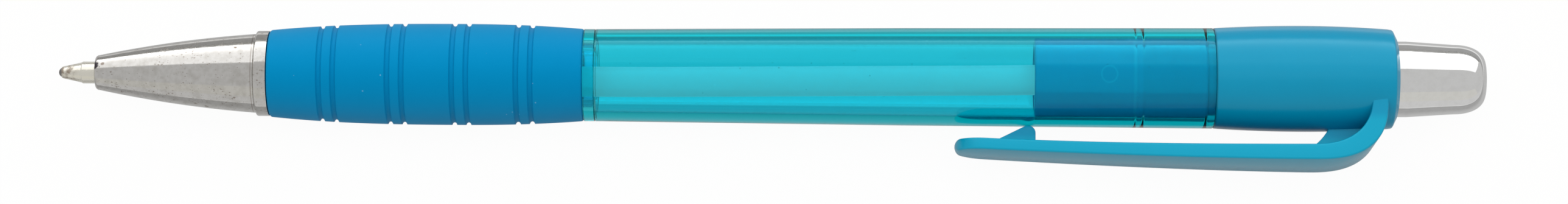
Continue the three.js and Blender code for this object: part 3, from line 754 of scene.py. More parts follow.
@dataclass(frozen=True)
class CapMoulding(Moulding):
    """The cap's plastic, with painted light: its insert and clip are painted brighter than the cap, though
    they are the same plastic, and the insert has a painted highlight and shade at its bead and the mark of
    the mould's ejector pin.
    """

    dust: Color = rgb(0.03, 0.34, 0.5)
    # painted light: the insert is painted brighter than the cap, a lit copy of the same plastic; insert_shade
    # is its painted shade behind the bead
    insert: Color = WHITE
    insert_shade: Color = rgb(0.0, 0.1, 0.15)
    insert_reach: float = 4.3
    insert_roughness: float = 0.03
    joint_station: float = 111.2
    joint_reach: float = 5.2
    joint_grime: Color = rgb(0.0, 0.05, 0.08)
    # painted light: the clip is painted brighter than the cap, though it is the same plastic
    clip: Color = rgb(0.0, 0.29, 0.45)
    clip_reach: float = 5.7
    # bead_station: where the painted highlight stripe lies, on the bead's front flank
    bead_station: float = 103.25
    mark: tuple[float, float, float] = (0.0, 0.0, 0.0)
    # the colour of the pin's mark, also used for the painted highlight stripe on the bead
    pin_mark_and_highlight_color: Color = rgb(0.1, 0.55, 0.7)
    mark_radius: float = 0.78

    def reach(self, s: Surface) -> Socket:
        """Distance from the pen's axis."""
        return s.vector("LENGTH", s.off_axis(s.place))

    def off_insert(self, s: Surface) -> Socket:
        """0 on the insert and 1 on the cap and the clip."""
        behind = s.ramp(s.station, self.joint_station - 0.15, self.joint_station - 0.05)
        return s.math("MAXIMUM", behind, s.ramp(self.reach(s), self.insert_reach, self.insert_reach + 0.1))

    def paint(self, s: Surface, color: Socket) -> Socket:
        """Adds the painted light of the insert and the clip, the painted highlight and shade at the insert's
        bead, the grime in the joint and the pin's mark.

        Args:
            s: the surface.
            color: the cap's colour.

        Returns:
            The colour with all that is special to the cap.
        """
        # painted highlight: a lighter stripe on the bead's front flank
        rib = s.near(s.apart(s.station, self.bead_station), 0.08, 0.2)
        insert = s.mix(s.times(rib, 0.2), self.insert, self.pin_mark_and_highlight_color)
        # painted shade: the insert is darker behind the bead
        behind = s.ramp(s.station, self.bead_station + 0.6, self.bead_station + 0.9)
        insert = s.mix(s.times(behind, 0.12), insert, self.insert_shade)
        reach = self.reach(s)
        # painted light: the clip gets its brighter colour
        color = s.mix(s.ramp(reach, self.clip_reach, self.clip_reach + 0.8), color, self.clip)
        # painted light: the insert gets its brighter colour
        color = s.mix(self.off_insert(s), insert, color)
        off = s.apart(s.vector("DISTANCE", s.place, self.mark), self.mark_radius)
        color = s.mix(s.times(s.near(off, 0.03, 0.12), 0.25), color, self.pin_mark_and_highlight_color)
        joint = s.near(s.apart(s.station, self.joint_station + 0.05), 0.03, 0.16)
        grime = s.times(joint, s.times(s.math("LESS_THAN", reach, self.joint_reach), 0.5))
        return s.mix(grime, color, self.joint_grime)

    def smooth(self, s: Surface) -> object:
        """The roughness, which is less on the insert."""
        more = s.times(self.off_insert(s), self.roughness - self.insert_roughness)
        return s.plus(more, self.insert_roughness)


@dataclass(frozen=True)
class ClearPlastic:
    """Tinted clear plastic that lets light through to what is inside it."""

    name: str
    color: Color
    shadow: Color
    roughness: float
    tint: Color = rgb(0.2, 0.95, 1.0)
    # painted shade along the rims, where the surface turns away
    rim: Color = rgb(0.0, 0.5, 0.6)
    specks: Color = rgb(0.01, 0.25, 0.32)

    def make(self, lie: Lie, effects: Effects) -> Material:
        """The material, with painted shade along the rims: its colour turns darker at grazing angles, which
        stands in partly for the deeper colour where the light runs a long way through the wall.

        Args:
            lie: where the pen lies.
            effects: the shared effects.

        Returns:
            The material.
        """
        s = Surface(self.name, lie)
        marks = s.effect(effects.smears, Amount=0.5)
        # painted shade: the colour darkens to the rim colour at grazing angles
        painted_rim_shade = s.ramp(s.node("LayerWeight").outputs["Facing"], 0.34, 0.385)
        s.set(
            Base_Color=s.mix(marks["Specks"], s.mix(painted_rim_shade, self.color, self.rim), self.specks),
            IOR=1.49,
            Transmission_Weight=1.0,
            Specular_Tint=self.tint,
            Roughness=s.plus(s.times(marks["Smear"], 0.03), self.roughness),
        )
        clear = s.node("BsdfTransparent", {"Color": self.shadow})
        s.put(s.output.inputs["Surface"], s.mix_shaders(s.rays()[Ray.SHADOW], s.shader, clear))
        return s.material


@dataclass(frozen=True)
class TipMetal:
    """Turned nickel silver, stained with dried ink toward the ball."""

    name: str
    color: Color
    ink: Color
    stain_front: float
    stain_rear: float

    def make(self, lie: Lie, effects: Effects) -> Material:
        """The material.

        Args:
            lie: where the pen lies.
            effects: the shared effects.

        Returns:
            The material.
        """
        s = Surface(self.name, lie)
        ends = {"Front": self.stain_front, "Rear": self.stain_rear, "Softness": 1.3}
        band = s.effect(effects.band, **ends)["Band"]
        pits = s.effect(effects.pits, Scale=5.0, Amount=1.5)["Pits"]
        stained = s.times(s.ramp(s.noise(s.place, 2.2, 5.0), 0.38, 0.66), band)
        spots = s.math("MAXIMUM", stained, s.times(pits, band))
        s.set(
            Base_Color=s.mix(s.times(spots, 0.85), self.color, self.ink),
            Metallic=s.minus(0.92, s.times(spots, 0.45)),
            Roughness=s.plus(s.times(spots, 0.25), 0.2),
        )
        s.bump(pits, 0.01, 0.4)
        return s.material


COOL = rgb(0.12, 0.7, 1.0)
SATIN = rgb(0.4, 0.9, 0.93)
CHROME = Plating("chrome", rgb(0.93, 0.93, 0.92), 0.04, 0.18)
# the nose's plating, with a painted shade line in front of its ring
WORN_CHROME = Plating(
    "worn_chrome", rgb(0.73, 0.715, 0.69), 0.08, 1.25, crease_shade=15.8, blot=(0.05, 0.22, 1.49), blot_radius=0.62
)
GRIP_RUBBER = Moulding(
    "grip_rubber", rgb(0.0, 0.205, 0.43), rgb(0.0, 0.185, 0.39), 0.55, 9.0, 0.012, 0.25, COOL
)
CAP_PLASTIC = CapMoulding(
    "cap_plastic", rgb(0.0, 0.235, 0.40), rgb(0.0, 0.205, 0.35), 0.2, 14.0, 0.008, 0.65, SATIN,
    insert=rgb(0.0, 0.29, 0.48), mark=(100.67, -0.843, 3.881),
)
PLUNGER_PLASTIC = Moulding("plunger_plastic", rgb(0.0, 0.2, 0.3), rgb(0.0, 0.15, 0.24), 0.45, 8.0, 0.01)
WHITE_PLASTIC = Moulding("white_plastic", rgb(0.88, 0.89, 0.87), rgb(0.82, 0.83, 0.81), 0.35, 6.0, 0.008)
# the refill has a painted glow, and a darker base colour to make up for it
REFILL_PLASTIC = Moulding(
    "refill_plastic", rgb(0.38, 0.36, 0.38), rgb(0.34, 0.33, 0.34), 0.35, 6.0, 0.008,
    milkiness=0.7, painted_glow=0.28,
)
INK = Moulding("ink", rgb(0.012, 0.01, 0.02), rgb(0.02, 0.015, 0.03), 0.2, 2.0, 0.01)
GREASE = Moulding("grease", rgb(0.7, 0.62, 0.35), rgb(0.6, 0.52, 0.28), 0.25, 1.5, 0.02)
SPRING_WIRE = Plating("spring_wire", rgb(0.6, 0.61, 0.62), 0.22, 0.1)
BALL_METAL = Plating("ball_metal", rgb(0.25, 0.24, 0.23), 0.18, 0.8)
TIP_METAL = TipMetal("tip_metal", rgb(0.90, 0.87, 0.77), rgb(0.13, 0.08, 0.045), -4.6, -1.4)
AQUA = ClearPlastic("aqua_plastic", rgb(0.12, 0.86, 0.98), rgb(0.46, 0.46, 0.48), 0.015)
DEEP_AQUA = ClearPlastic("deep_aqua_plastic", rgb(0.03, 0.86, 1.0), rgb(0.8, 0.9, 0.95), 0.02)
FINISHES = (
    CHROME, WORN_CHROME, GRIP_RUBBER, CAP_PLASTIC, PLUNGER_PLASTIC, WHITE_PLASTIC, REFILL_PLASTIC,
    INK, GREASE, SPRING_WIRE, BALL_METAL, TIP_METAL, AQUA, DEEP_AQUA,
)
Finish = Plating | Moulding | ClearPlastic | TipMetal


def dress(piece: Object, material: Material) -> None:
    """Gives a piece one material."""
    piece.data.materials.clear()
    piece.data.materials.append(material)


# Geometry nodes


class Grower(Tree):
    """A tree of geometry nodes with named inputs."""

    def __init__(self, name: str) -> None:
        """Makes the tree with one geometry in and one out.

        Args:
            name: the tree's name.
        """
        super().__init__(bpy.data.node_groups.new(name, "GeometryNodeTree"))
        self.face = self.tree.interface
        for way in ("INPUT", "OUTPUT"):
            self.face.new_socket("Geometry", in_out=way, socket_type="NodeSocketGeometry")
        self.given = self.node("NodeGroupInput").outputs

    def named(self, name: str, kind: str = "Float") -> Socket:
        """Adds a named input and returns its socket."""
        self.face.new_socket(name, in_out="INPUT", socket_type="NodeSocket" + kind)
        return self.given[name]

    def end(self, geometry: Socket, material: Socket) -> None:
        """Ends the tree in Realize Instances and Set Material.

        Args:
            geometry: what the tree has made.
            material: the input for its material.
        """
        real = self.result("GeometryNodeRealizeInstances", "Geometry", Geometry=geometry)
        painted = self.result("GeometryNodeSetMaterial", "Geometry", Geometry=real, Material=material)
        self.node("NodeGroupOutput", {"Geometry": painted})

    def grow(self, piece: Object, values: dict[str, object]) -> Object:
        """Runs the tree on a piece, with its inputs by name, and keeps what it makes as a plain mesh.

        Args:
            piece: the piece.
            values: the tree's inputs by name.

        Returns:
            The piece.
        """
        modifier = piece.modifiers.new(self.tree.name, "NODES")
        modifier.node_group = self.tree
        for item in self.face.items_tree:
            if item.item_type == "SOCKET" and item.in_out == "INPUT" and item.name in values:
                modifier[item.identifier] = values[item.name]
        return as_plain_mesh(piece)


# The pen


@dataclass
class Assembly:
    """What every sub-assembly knows: where the pen lies and its materials by their finish."""

    lie: Lie
    materials: dict[Finish, Material]

    def turned(self, name: str, outline: Sequence[Point], sides: Roundness = Roundness.FINE) -> Object:
        """A piece turned about the pen's axis."""
        return turned(name, self.lie, outline, sides)

    def place(self, piece: Object, finish: Finish, body: Body, node: str, slot: str) -> Object:
        """Ends a piece.

        Args:
            piece: the piece.
            finish: its finish.
            body: the body that it moves with.
            node: the CAD node that it stands for.
            slot: its material slot; not used.

        Returns:
            The piece.
        """
        dress(piece, self.materials[finish])
        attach(piece, body.value)
        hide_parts(node)
        return piece


@dataclass
class Housing(Assembly):
    """Nose cone, front section and barrel, with the sizes that other pieces read."""

    nose_length: float = 16.06
    nose_front_radius: float = 1.66
    nose_rear_radius: float = 3.93
    nose_crown: float = 0.5
    nose_lip: float = 0.35
    ring_length: float = 1.27
    ring_radius: float = 4.23
    ring_gap: float = 0.02
    undercut: Point = (0.08, 0.1)
    tip_hole_radius: float = 1.18
    tip_hole_length: float = 2.2
    tip_hole_draft: float = 0.1
    tip_hole_bevel: Point = (0.12, 0.08)
    chamber_radius: float = 2.05
    spring_seat: float = 5.5
    neck_length: float = 6.0
    neck_radius: float = 2.95
    grip_length: float = 31.27
    core_radius: float = 3.75
    collar_length: float = 1.1
    front_bore_radius: float = 2.2
    barrel_length: float = 61.5
    barrel_front_radius: float = 4.58
    barrel_middle_radius: float = 4.85
    barrel_rear_radius: float = 5.0
    bore_front_radius: float = 3.75
    bore_rear_radius: float = 4.06
    shoulder_length: float = 0.15
    end_chamfer: float = 0.15
    end_chamfer_depth: float = 0.04
    mouth_length: float = 0.75
    mouth_depth: float = 0.1
    mouth_slope: float = 0.22
    snap_station: float = 103.75
    snap_half_length: float = 0.5
    snap_slope: float = 0.25
    snap_depth: float = 0.07
    spigot_length: float = 7.5
    spigot_radius: float = 3.2
    spigot_bore_radius: float = 2.45
    seat_gap: float = 0.03

    @property
    def nose_rear(self) -> float:
        """The station of the nose cone's rear end."""
        return self.nose_length + self.ring_length

    @property
    def grip_rear(self) -> float:
        """The station of the grip's rear end."""
        return self.nose_rear + self.grip_length

    @property
    def barrel_front(self) -> float:
        """The station where the barrel begins."""
        return self.grip_rear + self.collar_length

    @property
    def cap_front(self) -> float:
        """The station where the cap begins."""
        return self.barrel_front + self.barrel_length

    def nose_radius(self, station: float) -> float:
        """Radius of the nose cone's bulging side.

        Args:
            station: the station.

        Returns:
            The radius.
        """
        share = station / self.nose_length
        swell = (1 + self.nose_crown) * share - self.nose_crown * share * share
        return lerp(self.nose_front_radius, self.nose_rear_radius, swell)

    def barrel_radius(self, station: float) -> float:
        """Outer radius of the barrel, which tapers more in its front half.

        Args:
            station: the station.

        Returns:
            The radius.
        """
        halves = 2 * (station - self.barrel_front) / self.barrel_length
        if halves < 1:
            return lerp(self.barrel_front_radius, self.barrel_middle_radius, halves)
        return lerp(self.barrel_middle_radius, self.barrel_rear_radius, halves - 1)

    def bore_radius(self, station: float) -> float:
        """Radius of the barrel's bore, with the mould's draft."""
        share = (station - self.barrel_front) / self.barrel_length
        return lerp(self.bore_front_radius, self.bore_rear_radius, share)

    def bore(self, station: float, deeper: float = 0.0) -> Point:
        """A point of the barrel's bore, or of a recess in it."""
        return station, self.bore_radius(station) + deeper

    def make_nose(self) -> Object:
        """Makes the chrome cone with its stepped ring.

        Returns:
            The piece.
        """
        side = along(self.nose_lip, self.nose_length - self.undercut[0], 40, self.nose_radius)
        front = arc(self.nose_lip, self.nose_lip, math.pi, QUARTER, 8, side[0][1] - self.nose_lip)[:-1]
        rear = self.nose_rear - self.ring_gap
        neck = self.neck_radius + self.seat_gap
        foot = side[-1][1] - self.undercut[1]
        ring = stairs(foot, self.nose_length, self.ring_radius, rear, neck)
        ring = rounded(ring, {1: 0.3, 2: 0.06})
        socket = self.nose_rear - self.neck_length - self.seat_gap
        hole = self.tip_hole_radius + self.tip_hole_draft
        bore = [
            *stairs(neck, socket, self.chamber_radius, self.spring_seat, hole),
            (self.tip_hole_length, self.tip_hole_radius),
            (self.tip_hole_bevel[0], self.tip_hole_radius),
            (0.0, self.tip_hole_radius + self.tip_hole_bevel[1]),
        ]
        piece = self.turned("nose_cone_chrome", [*front, *side, *ring, *bore])
        return self.place(piece, WORN_CHROME, Body.HOUSING, "nose_cone", "chrome_plate")

    def make_front_section(self) -> Object:
        """Makes the clear collar, the core under the grip and the neck in the nose cone.

        Returns:
            The piece.
        """
        neck_front = self.nose_rear - self.neck_length
        neck_rear = self.nose_rear + self.seat_gap
        socket = self.barrel_front - self.spigot_length - self.seat_gap
        outline = stairs(
            self.front_bore_radius, neck_front, self.neck_radius, neck_rear, self.core_radius,
            self.grip_rear, self.barrel_front_radius, self.barrel_front,
            self.spigot_radius + self.seat_gap, socket, self.front_bore_radius,
        )
        piece = self.turned("front_section_clear", rounded(outline, {1: 0.3, 5: 0.05, 6: 0.07}))
        return self.place(piece, DEEP_AQUA, Body.HOUSING, "front_section", "aqua_barrel")

    def make_barrel(self) -> Object:
        """Makes the clear tube with its spigot, the groove for the cap's bead and a wider mouth.

        Returns:
            The piece.
        """
        front = self.barrel_front + self.seat_gap
        rear = self.cap_front - self.seat_gap
        spigot_front = self.barrel_front - self.spigot_length
        bore_front = front + self.shoulder_length
        side = along(front, rear, 48, self.barrel_radius)
        spigot = [(spigot_front, self.spigot_bore_radius), (spigot_front, self.spigot_radius)]
        ends = rounded([*spigot, (front, self.spigot_radius), *side[:2]], {1: 0.25, 3: 0.07})[:-1]
        chamfer = rear - self.end_chamfer
        mouth = rear - self.mouth_length
        snap_rear = self.snap_station + self.snap_half_length
        snap_front = self.snap_station - self.snap_half_length
        snap_floor = self.bore(self.snap_station, self.snap_depth)[1]
        back = rounded(
            [
                side[-2],
                (chamfer, self.barrel_radius(chamfer)),
                (rear, self.barrel_radius(rear) - self.end_chamfer_depth),
                self.bore(rear, self.mouth_depth),
                self.bore(mouth, self.mouth_depth),
                (mouth - self.mouth_slope, self.bore_radius(mouth)),
                self.bore(snap_rear),
                (snap_rear - self.snap_slope, snap_floor),
                (snap_front + self.snap_slope, snap_floor),
                self.bore(snap_front),
                self.bore(bore_front),
                (bore_front, self.spigot_bore_radius),
            ],
            {2: 0.04, **dict.fromkeys(range(4, 10), 0.1), 10: 0.05},
        )[1:]
        piece = self.turned("barrel_clear", [*ends, *side[1:-1], *back])
        return self.place(piece, AQUA, Body.HOUSING, "barrel_tube", "aqua_barrel")


@dataclass
class Grip(Assembly):
    """The rubber sleeve with its pairs of grooves."""

    housing: Housing
    front_radius: float = 4.31
    crown_radius: float = 5.03
    crown_station: float = 19.1
    front_swell: float = 2.7
    rear_swell: float = 2.2
    edge_round: float = 0.3
    pair_stations: tuple[float, ...] = (5.94, 12.72, 19.09, 25.41)
    pair_spacing: float = 1.4
    groove_width: float = 0.56
    groove_depth: float = 0.25
    groove_squareness: float = 2.4
    groove_fullness: float = 0.8
    rear_bevel: Point = (0.12, 0.16)

    def radius(self, station: float) -> float:
        """Radius of the smooth sleeve, at a station from its own front end.

        Args:
            station: the station.

        Returns:
            The radius.
        """
        if station < self.crown_station:
            reach, end, swell = self.crown_station, self.front_radius, self.front_swell
        else:
            reach = self.housing.grip_length - self.crown_station
            end, swell = self.housing.barrel_front_radius, self.rear_swell
        share = abs(station - self.crown_station) / reach
        return self.crown_radius - (self.crown_radius - end) * share**swell

    def ring_stations(self) -> list[float]:
        """Spaces the sleeve's rings, close together across each groove.

        Returns:
            Their stations.
        """
        coarse = [lerp(self.edge_round, self.housing.grip_length - 0.35, t) for t in steps(60)]
        centres = [p + k * self.pair_spacing / 2 for p in self.pair_stations for k in (-1, 1)]
        reach = 0.75 * self.groove_width
        fine = [c + lerp(-reach, reach, t) for c in centres for t in steps(18)]
        apart = [s for s in coarse if min(abs(s - c) for c in centres) > reach + 0.1]
        return sorted(apart + fine)

    def groove_tree(self) -> Grower:
        """Makes geometry nodes that press pairs of round-bottomed grooves into a sleeve.

        Returns:
            The tree.
        """
        g = Grower("groove_pairs")
        axis = g.named("Axis", "Vector")
        spacing, width, depth = (g.named(n) for n in ("Spacing", "Width", "Depth"))
        pairs = [g.named(f"Pair {i + 1}") for i in range(len(self.pair_stations))]
        material = g.named("Material", "Material")
        offset = g.vector("SUBTRACT", g.node("GeometryNodeInputPosition").outputs[0], axis)
        station = g.part(offset, "X")
        nearest, *others = [g.apart(station, pair) for pair in pairs]
        for other in others:
            nearest = g.math("MINIMUM", nearest, other)
        share = g.math("DIVIDE", g.apart(nearest, g.times(spacing, 0.5)), g.times(width, 0.5))
        inside = g.math("SUBTRACT", 1.0, g.math("POWER", share, self.groove_squareness), True)
        press = g.times(g.math("POWER", inside, self.groove_fullness), depth)
        radial = g.off_axis(offset)
        outside = g.math("GREATER_THAN", g.vector("LENGTH", radial), (self.housing.core_radius + 0.2) * MM)
        pull = {0: g.vector("NORMALIZE", radial), "Scale": g.times(g.times(press, outside), -1.0)}
        push = g.node("VectorMath", pull, operation="SCALE").outputs[0]
        sleeve = g.given["Geometry"]
        g.end(g.result("GeometryNodeSetPosition", "Geometry", Geometry=sleeve, Offset=push), material)
        return g

    def make(self) -> Object:
        """Makes the sleeve.

        Returns:
            The piece.
        """
        start = self.housing.nose_rear + self.housing.seat_gap
        bore = self.housing.core_radius + self.housing.seat_gap
        rear = self.housing.grip_length - 2 * self.housing.seat_gap
        side = [(s, self.radius(s)) for s in self.ring_stations()]
        lip = self.edge_round
        front = arc(lip, lip, math.pi, QUARTER, 6, side[0][1] - lip)[:-1]
        end, (bevel_length, bevel_depth) = self.radius(rear - lip), self.rear_bevel
        back = [(rear - bevel_length, end - 0.03), (rear, end - bevel_depth), (rear, bore)]
        outline = [(0.0, bore), *front, *side, *back]
        piece = self.turned("grip_rubber_sleeve", [(start + s, r) for s, r in outline])
        values: dict[str, object] = {
            "Axis": tuple(self.lie.point(start)),
            "Spacing": self.pair_spacing * MM,
            "Width": self.groove_width * MM,
            "Depth": self.groove_depth * MM,
            "Material": self.materials[GRIP_RUBBER],
        }
        values |= {f"Pair {i + 1}": s * MM for i, s in enumerate(self.pair_stations)}
        piece = self.groove_tree().grow(piece, values)
        shade(piece.data, 50)
        return self.place(piece, GRIP_RUBBER, Body.HOUSING, "grip_sleeve", "grip_rubber")


@dataclass
class Cap(Assembly):
    """The cap with its insert, clip, fin and gusset."""

    housing: Housing
    length: float = 18.2
    crown_radius: float = 5.27
    crown_station: float = 8.8
    rear_radius: float = 4.9
    end_slope: float = 0.45
    edge_length: float = 0.5
    rim_inset: float = 0.01
    side_insets: Point = (0.7, 0.9)
    well_radius: float = 3.86
    well_lip: float = 0.12
    button_radius: float = 3.76
    insert_length: float = 17.9
    insert_gap: float = 0.05
    insert_bore_radius: float = 3.31
    guide_bore_radius: float = 2.35
    guide_front: float = 108.5
    guide_rear: float = 118.2
    guide_lead_in: float = 0.6
    groove_rear: float = 117.45
    groove_floor: float = 3.1
    groove_half_width: float = 0.85
    groove_edge: float = 0.02
    bead_station: float = 7.4
    bead_length: float = 1.1
    bead_top: float = 0.4
    bead_gap: float = 0.03
    step_length: float = 0.8
    step_depth: float = 0.22
    clip_length: float = 42.75
    clip_setback: float = 1.2
    clip_inner_height: float = 7.22
    clip_thickness: float = 1.56
    arm_thickness: float = 1.6
    arm_foot_depth: float = 0.9
    bend_length: float = 7.25
    bend_drop: float = 6.2
    outer_squareness: float = 2.6
    inner_squareness: float = 2.25
    tip_drop: float = 1.15
    tip_thickness: float = 1.15
    outer_curve: float = 1.6
    inner_curve: float = 2.6
    root_width: float = 8.4
    tip_width: float = 6.3
    tip_round: float = 3.0
    edge_round: float = 0.2
    fin_thickness: float = 1.2
    fin_edge: float = 0.1
    fin_peak: float = 7.3
    fin_ramp: float = 3.65
    fin_round: float = 0.75
    fin_round_start: float = -0.68 * math.pi
    gusset_thickness: float = 1.2
    gusset_length: float = 7.7
    gusset_foot: float = 5.2
    gusset_hollow: float = 0.55
    gusset_sink: float = 0.3
    gusset_edge: float = 0.08

    @property
    def rear(self) -> float:
        """The station of the cap's rear end."""
        return self.housing.cap_front + self.length

    @property
    def clip_back(self) -> float:
        """The station of the back of the clip's arms."""
        return self.rear - self.clip_setback

    @property
    def clip_tip(self) -> float:
        """The station of the clip's tip."""
        return self.clip_back - self.clip_length

    @property
    def bend_start(self) -> float:
        """The station where the clip's bend begins."""
        return self.clip_back - self.bend_length

    @property
    def clip_outer_height(self) -> float:
        """Height of the clip's outer face at its root."""
        return self.clip_inner_height + self.clip_thickness

    def radius(self, station: float) -> float:
        """Outer radius of the cap.

        Args:
            station: the station.

        Returns:
            The radius.
        """
        crown = self.housing.cap_front + self.crown_station
        end, end_radius = self.rear, self.rear_radius
        if station < crown:
            end, end_radius = self.housing.cap_front, self.housing.barrel_rear_radius
        share = (station - crown) / (end - crown)
        return self.crown_radius - (self.crown_radius - end_radius) * share * share

    def toward_tip(self, station: float) -> float:
        """How far toward the clip's tip a station is: 0 at the bend and 1 at the tip."""
        return max((self.bend_start - station) / (self.bend_start - self.clip_tip), 0.0)

    def faces_at(self, station: float) -> tuple[float, float]:
        """Heights of the clip's outer and inner faces.

        Args:
            station: the station.

        Returns:
            The outer face's height, then the inner's.
        """
        share = self.toward_tip(station)
        drop = self.tip_drop + self.tip_thickness - self.clip_thickness
        outer = self.clip_outer_height - self.tip_drop * share**self.outer_curve
        return outer, self.clip_inner_height - drop * share**self.inner_curve

    def bend_point(self, share: float, along_inset: float, height_inset: float, squareness: float) -> Point:
        """A point of the clip's bend, from its start (0) to its arms (1).

        Args:
            share: how far round the bend the point lies.
            along_inset: its inset along the pen.
            height_inset: its inset in height.
            squareness: 2 for an ellipse, and more for a squarer bend.

        Returns:
            The point.
        """
        angle = QUARTER * (1 - share)
        ahead = max(math.cos(angle), 0.0) ** (2 / squareness)
        up = max(math.sin(angle), 0.0) ** (2 / squareness)
        floor = self.clip_outer_height - self.bend_drop
        return (
            self.bend_start + (self.bend_length - along_inset) * ahead,
            floor + (self.bend_drop - height_inset) * up,
        )

    def half_width(self, station: float) -> float:
        """Half the clip's width, which narrows to a rounded tip.

        Args:
            station: the station.

        Returns:
            Half the width.
        """
        into = station - self.clip_tip
        share = min(max(into / (self.bend_start - self.clip_tip), 0.0), 1.0)
        plain = lerp(self.tip_width, self.root_width, share) / 2
        if into >= self.tip_round:
            return plain
        return plain * math.sqrt(max(1 - (1 - into / self.tip_round) ** 2, 0.0))

    def clip_sections(self) -> list[tuple[Point, Point, float]]:
        """Cuts the clip into sections from its tip to its arms' feet.

        Returns:
            Outer point, inner point and half width of each section.
        """
        sections = []
        for t in steps(16)[1:]:
            into = self.tip_round * (1 - math.cos(QUARTER * t))
            station = self.clip_tip + into
            outer, inner = self.faces_at(station)
            slim = min(into / (self.tip_thickness / 2), 1.0)
            middle, half = (outer + inner) / 2, (outer - inner) / 2 * math.sqrt(1 - (1 - slim) ** 2)
            sections.append(((station, middle + half), (station, middle - half), self.half_width(station)))
        start = self.clip_tip + self.tip_round
        for t in steps(40)[1:-1]:
            station = lerp(start, self.bend_start, t)
            outer, inner = self.faces_at(station)
            sections.append(((station, outer), (station, inner), self.half_width(station)))
        half_width = self.root_width / 2
        for t in steps(40):
            outer_point = self.bend_point(t, 0, 0, self.outer_squareness)
            inner_point = self.bend_point(t, self.arm_thickness, self.clip_thickness, self.inner_squareness)
            sections.append((outer_point, inner_point, half_width))
        foot = self.clip_outer_height - self.bend_drop - self.arm_foot_depth
        sections.append(((self.clip_back, foot), (self.clip_back - self.arm_thickness, foot), half_width))
        return sections

    def make_clip_strip(self) -> Object:
        """Makes the clip's strip, lofted through rounded sections.

        Returns:
            The piece.
        """
        verts = []
        for outer, inner, half in self.clip_sections():
            o, i = Vector(outer), Vector(inner)
            thick, up, middle = (o - i).length, (o - i).normalized(), (o + i) / 2
            size = min(self.edge_round, 0.49 * thick, 0.49 * half)
            for quarter, (sx, sy) in enumerate(((1, 1), (-1, 1), (-1, -1), (1, -1))):
                for t in steps(4):
                    angle = QUARTER * (quarter + t)
                    side = sx * (half - size) + size * math.cos(angle)
                    at = middle + up * (sy * (thick / 2 - size) + size * math.sin(angle))
                    verts.append(self.lie.point(at.x, -at.y, side))
        count = 4 * len(steps(4))
        rings = [range(first, first + count) for first in range(0, len(verts), count)]
        faces = [list(rings[0]), list(rings[-1])[::-1]]
        for near, far in zip(rings, rings[1:]):
            faces += bridge(near, far)
        return solid("clip_strip", verts, faces)

    def make_fin(self) -> Object:
        """Makes the fin under the clip, with its ramp and rounded peak.

        Returns:
            The piece.
        """
        peak = self.clip_tip + self.fin_peak
        ramp_top = peak - self.fin_ramp
        centre = self.housing.barrel_radius(peak) + self.housing.seat_gap + self.fin_round
        top = arc(peak, self.fin_round, self.fin_round_start, 0.0, 12, centre)
        inside = [(s, sum(self.faces_at(s)) / 2) for s in (ramp_top, peak + self.fin_round)]
        outline = [inside[0], (ramp_top, self.faces_at(ramp_top)[1]), *top, inside[1]]
        return plate("clip_fin", self.lie, outline, self.fin_thickness, self.fin_edge)

    def make_gusset(self) -> Object:
        """Makes the rib between the clip and the cap, with its hollow front edge.

        Returns:
            The piece.
        """
        foot = self.well_radius + self.gusset_sink
        front = self.clip_back - self.gusset_length
        a = Vector((self.clip_back - self.gusset_foot, foot))
        c = Vector((front, self.clip_inner_height))
        b = (a + c) / 2 + Vector((self.gusset_hollow, self.gusset_hollow))
        arm, strip = self.arm_thickness / 2, self.clip_thickness / 2
        inside = [self.bend_point(t, arm, strip, self.outer_squareness) for t in steps(16)]
        inside = [p for p in inside if p[1] > foot]
        outline = [*curve(a, b, c, 10), (front, inside[0][1]), *inside, (self.clip_back - arm, foot)]
        return plate("clip_gusset", self.lie, outline, self.gusset_thickness, self.gusset_edge)

    def make_shell(self) -> Object:
        """Makes the cap's turned shell with its insert, snap bead, guide and well.

        Returns:
            The piece.
        """
        h = self.housing
        insert_front = h.cap_front - self.insert_length
        bead = h.cap_front - self.bead_station
        bead_half, top_half = self.bead_length / 2, self.bead_top / 2
        bead_radius = h.bore_radius(bead) - self.bead_gap
        insert_radius = h.bore_radius(insert_front) - self.insert_gap
        rear_radius = h.bore_radius(bead + bead_half) - self.insert_gap
        step = h.cap_front - self.step_length
        edge, rim = h.cap_front + self.edge_length, h.barrel_rear_radius - self.rim_inset
        front_part = rounded(
            [
                (insert_front, self.insert_bore_radius),
                (insert_front, insert_radius),
                (bead - bead_half, insert_radius),
                (bead - top_half, bead_radius),
                (bead + top_half, bead_radius),
                (bead + bead_half, rear_radius),
                *stairs(rear_radius, step, rear_radius - self.step_depth, h.cap_front, rim),
                (edge, self.radius(edge)),
            ],
            {1: 0.28, 2: 0.05, 3: 0.12, 4: 0.12, 5: 0.05, 6: 0.05, 9: 0.12},
        )
        side_front, side_rear = (h.cap_front + self.side_insets[0], self.rear - self.side_insets[1])
        side = along(side_front, side_rear, 30, self.radius)
        back = rounded(
            [
                side[-1],
                (self.rear - self.end_slope, self.rear_radius),
                (self.rear, self.well_radius + self.well_lip),
                (self.rear, self.well_radius),
                (self.guide_rear, self.well_radius),
                (self.guide_rear, self.guide_bore_radius),
                (self.guide_front + self.guide_lead_in, self.guide_bore_radius),
                (self.guide_front, self.insert_bore_radius),
            ],
            {1: 0.14, 2: 0.1},
            8,
        )
        return self.turned("cap_with_clip", [*front_part, *side, *back[1:]])

    def cut_grooves(self, shell: Object) -> Object:
        """Cuts the guide's four grooves, in which the rotor's fins and the plunger's splines run.

        Args:
            shell: the cap's shell.

        Returns:
            The shell with its grooves.
        """
        half, floor = self.groove_half_width, self.groove_floor
        front, rear = self.guide_front - 1, self.groove_rear
        for height, thickness in ((floor, 2 * half), (half, 2 * floor)):
            outline = stairs(-height, front, height, rear, -height)
            groove = plate("groove", self.lie, outline, thickness, self.groove_edge)
            shell = combine(shell, groove, "DIFFERENCE")
        return shell

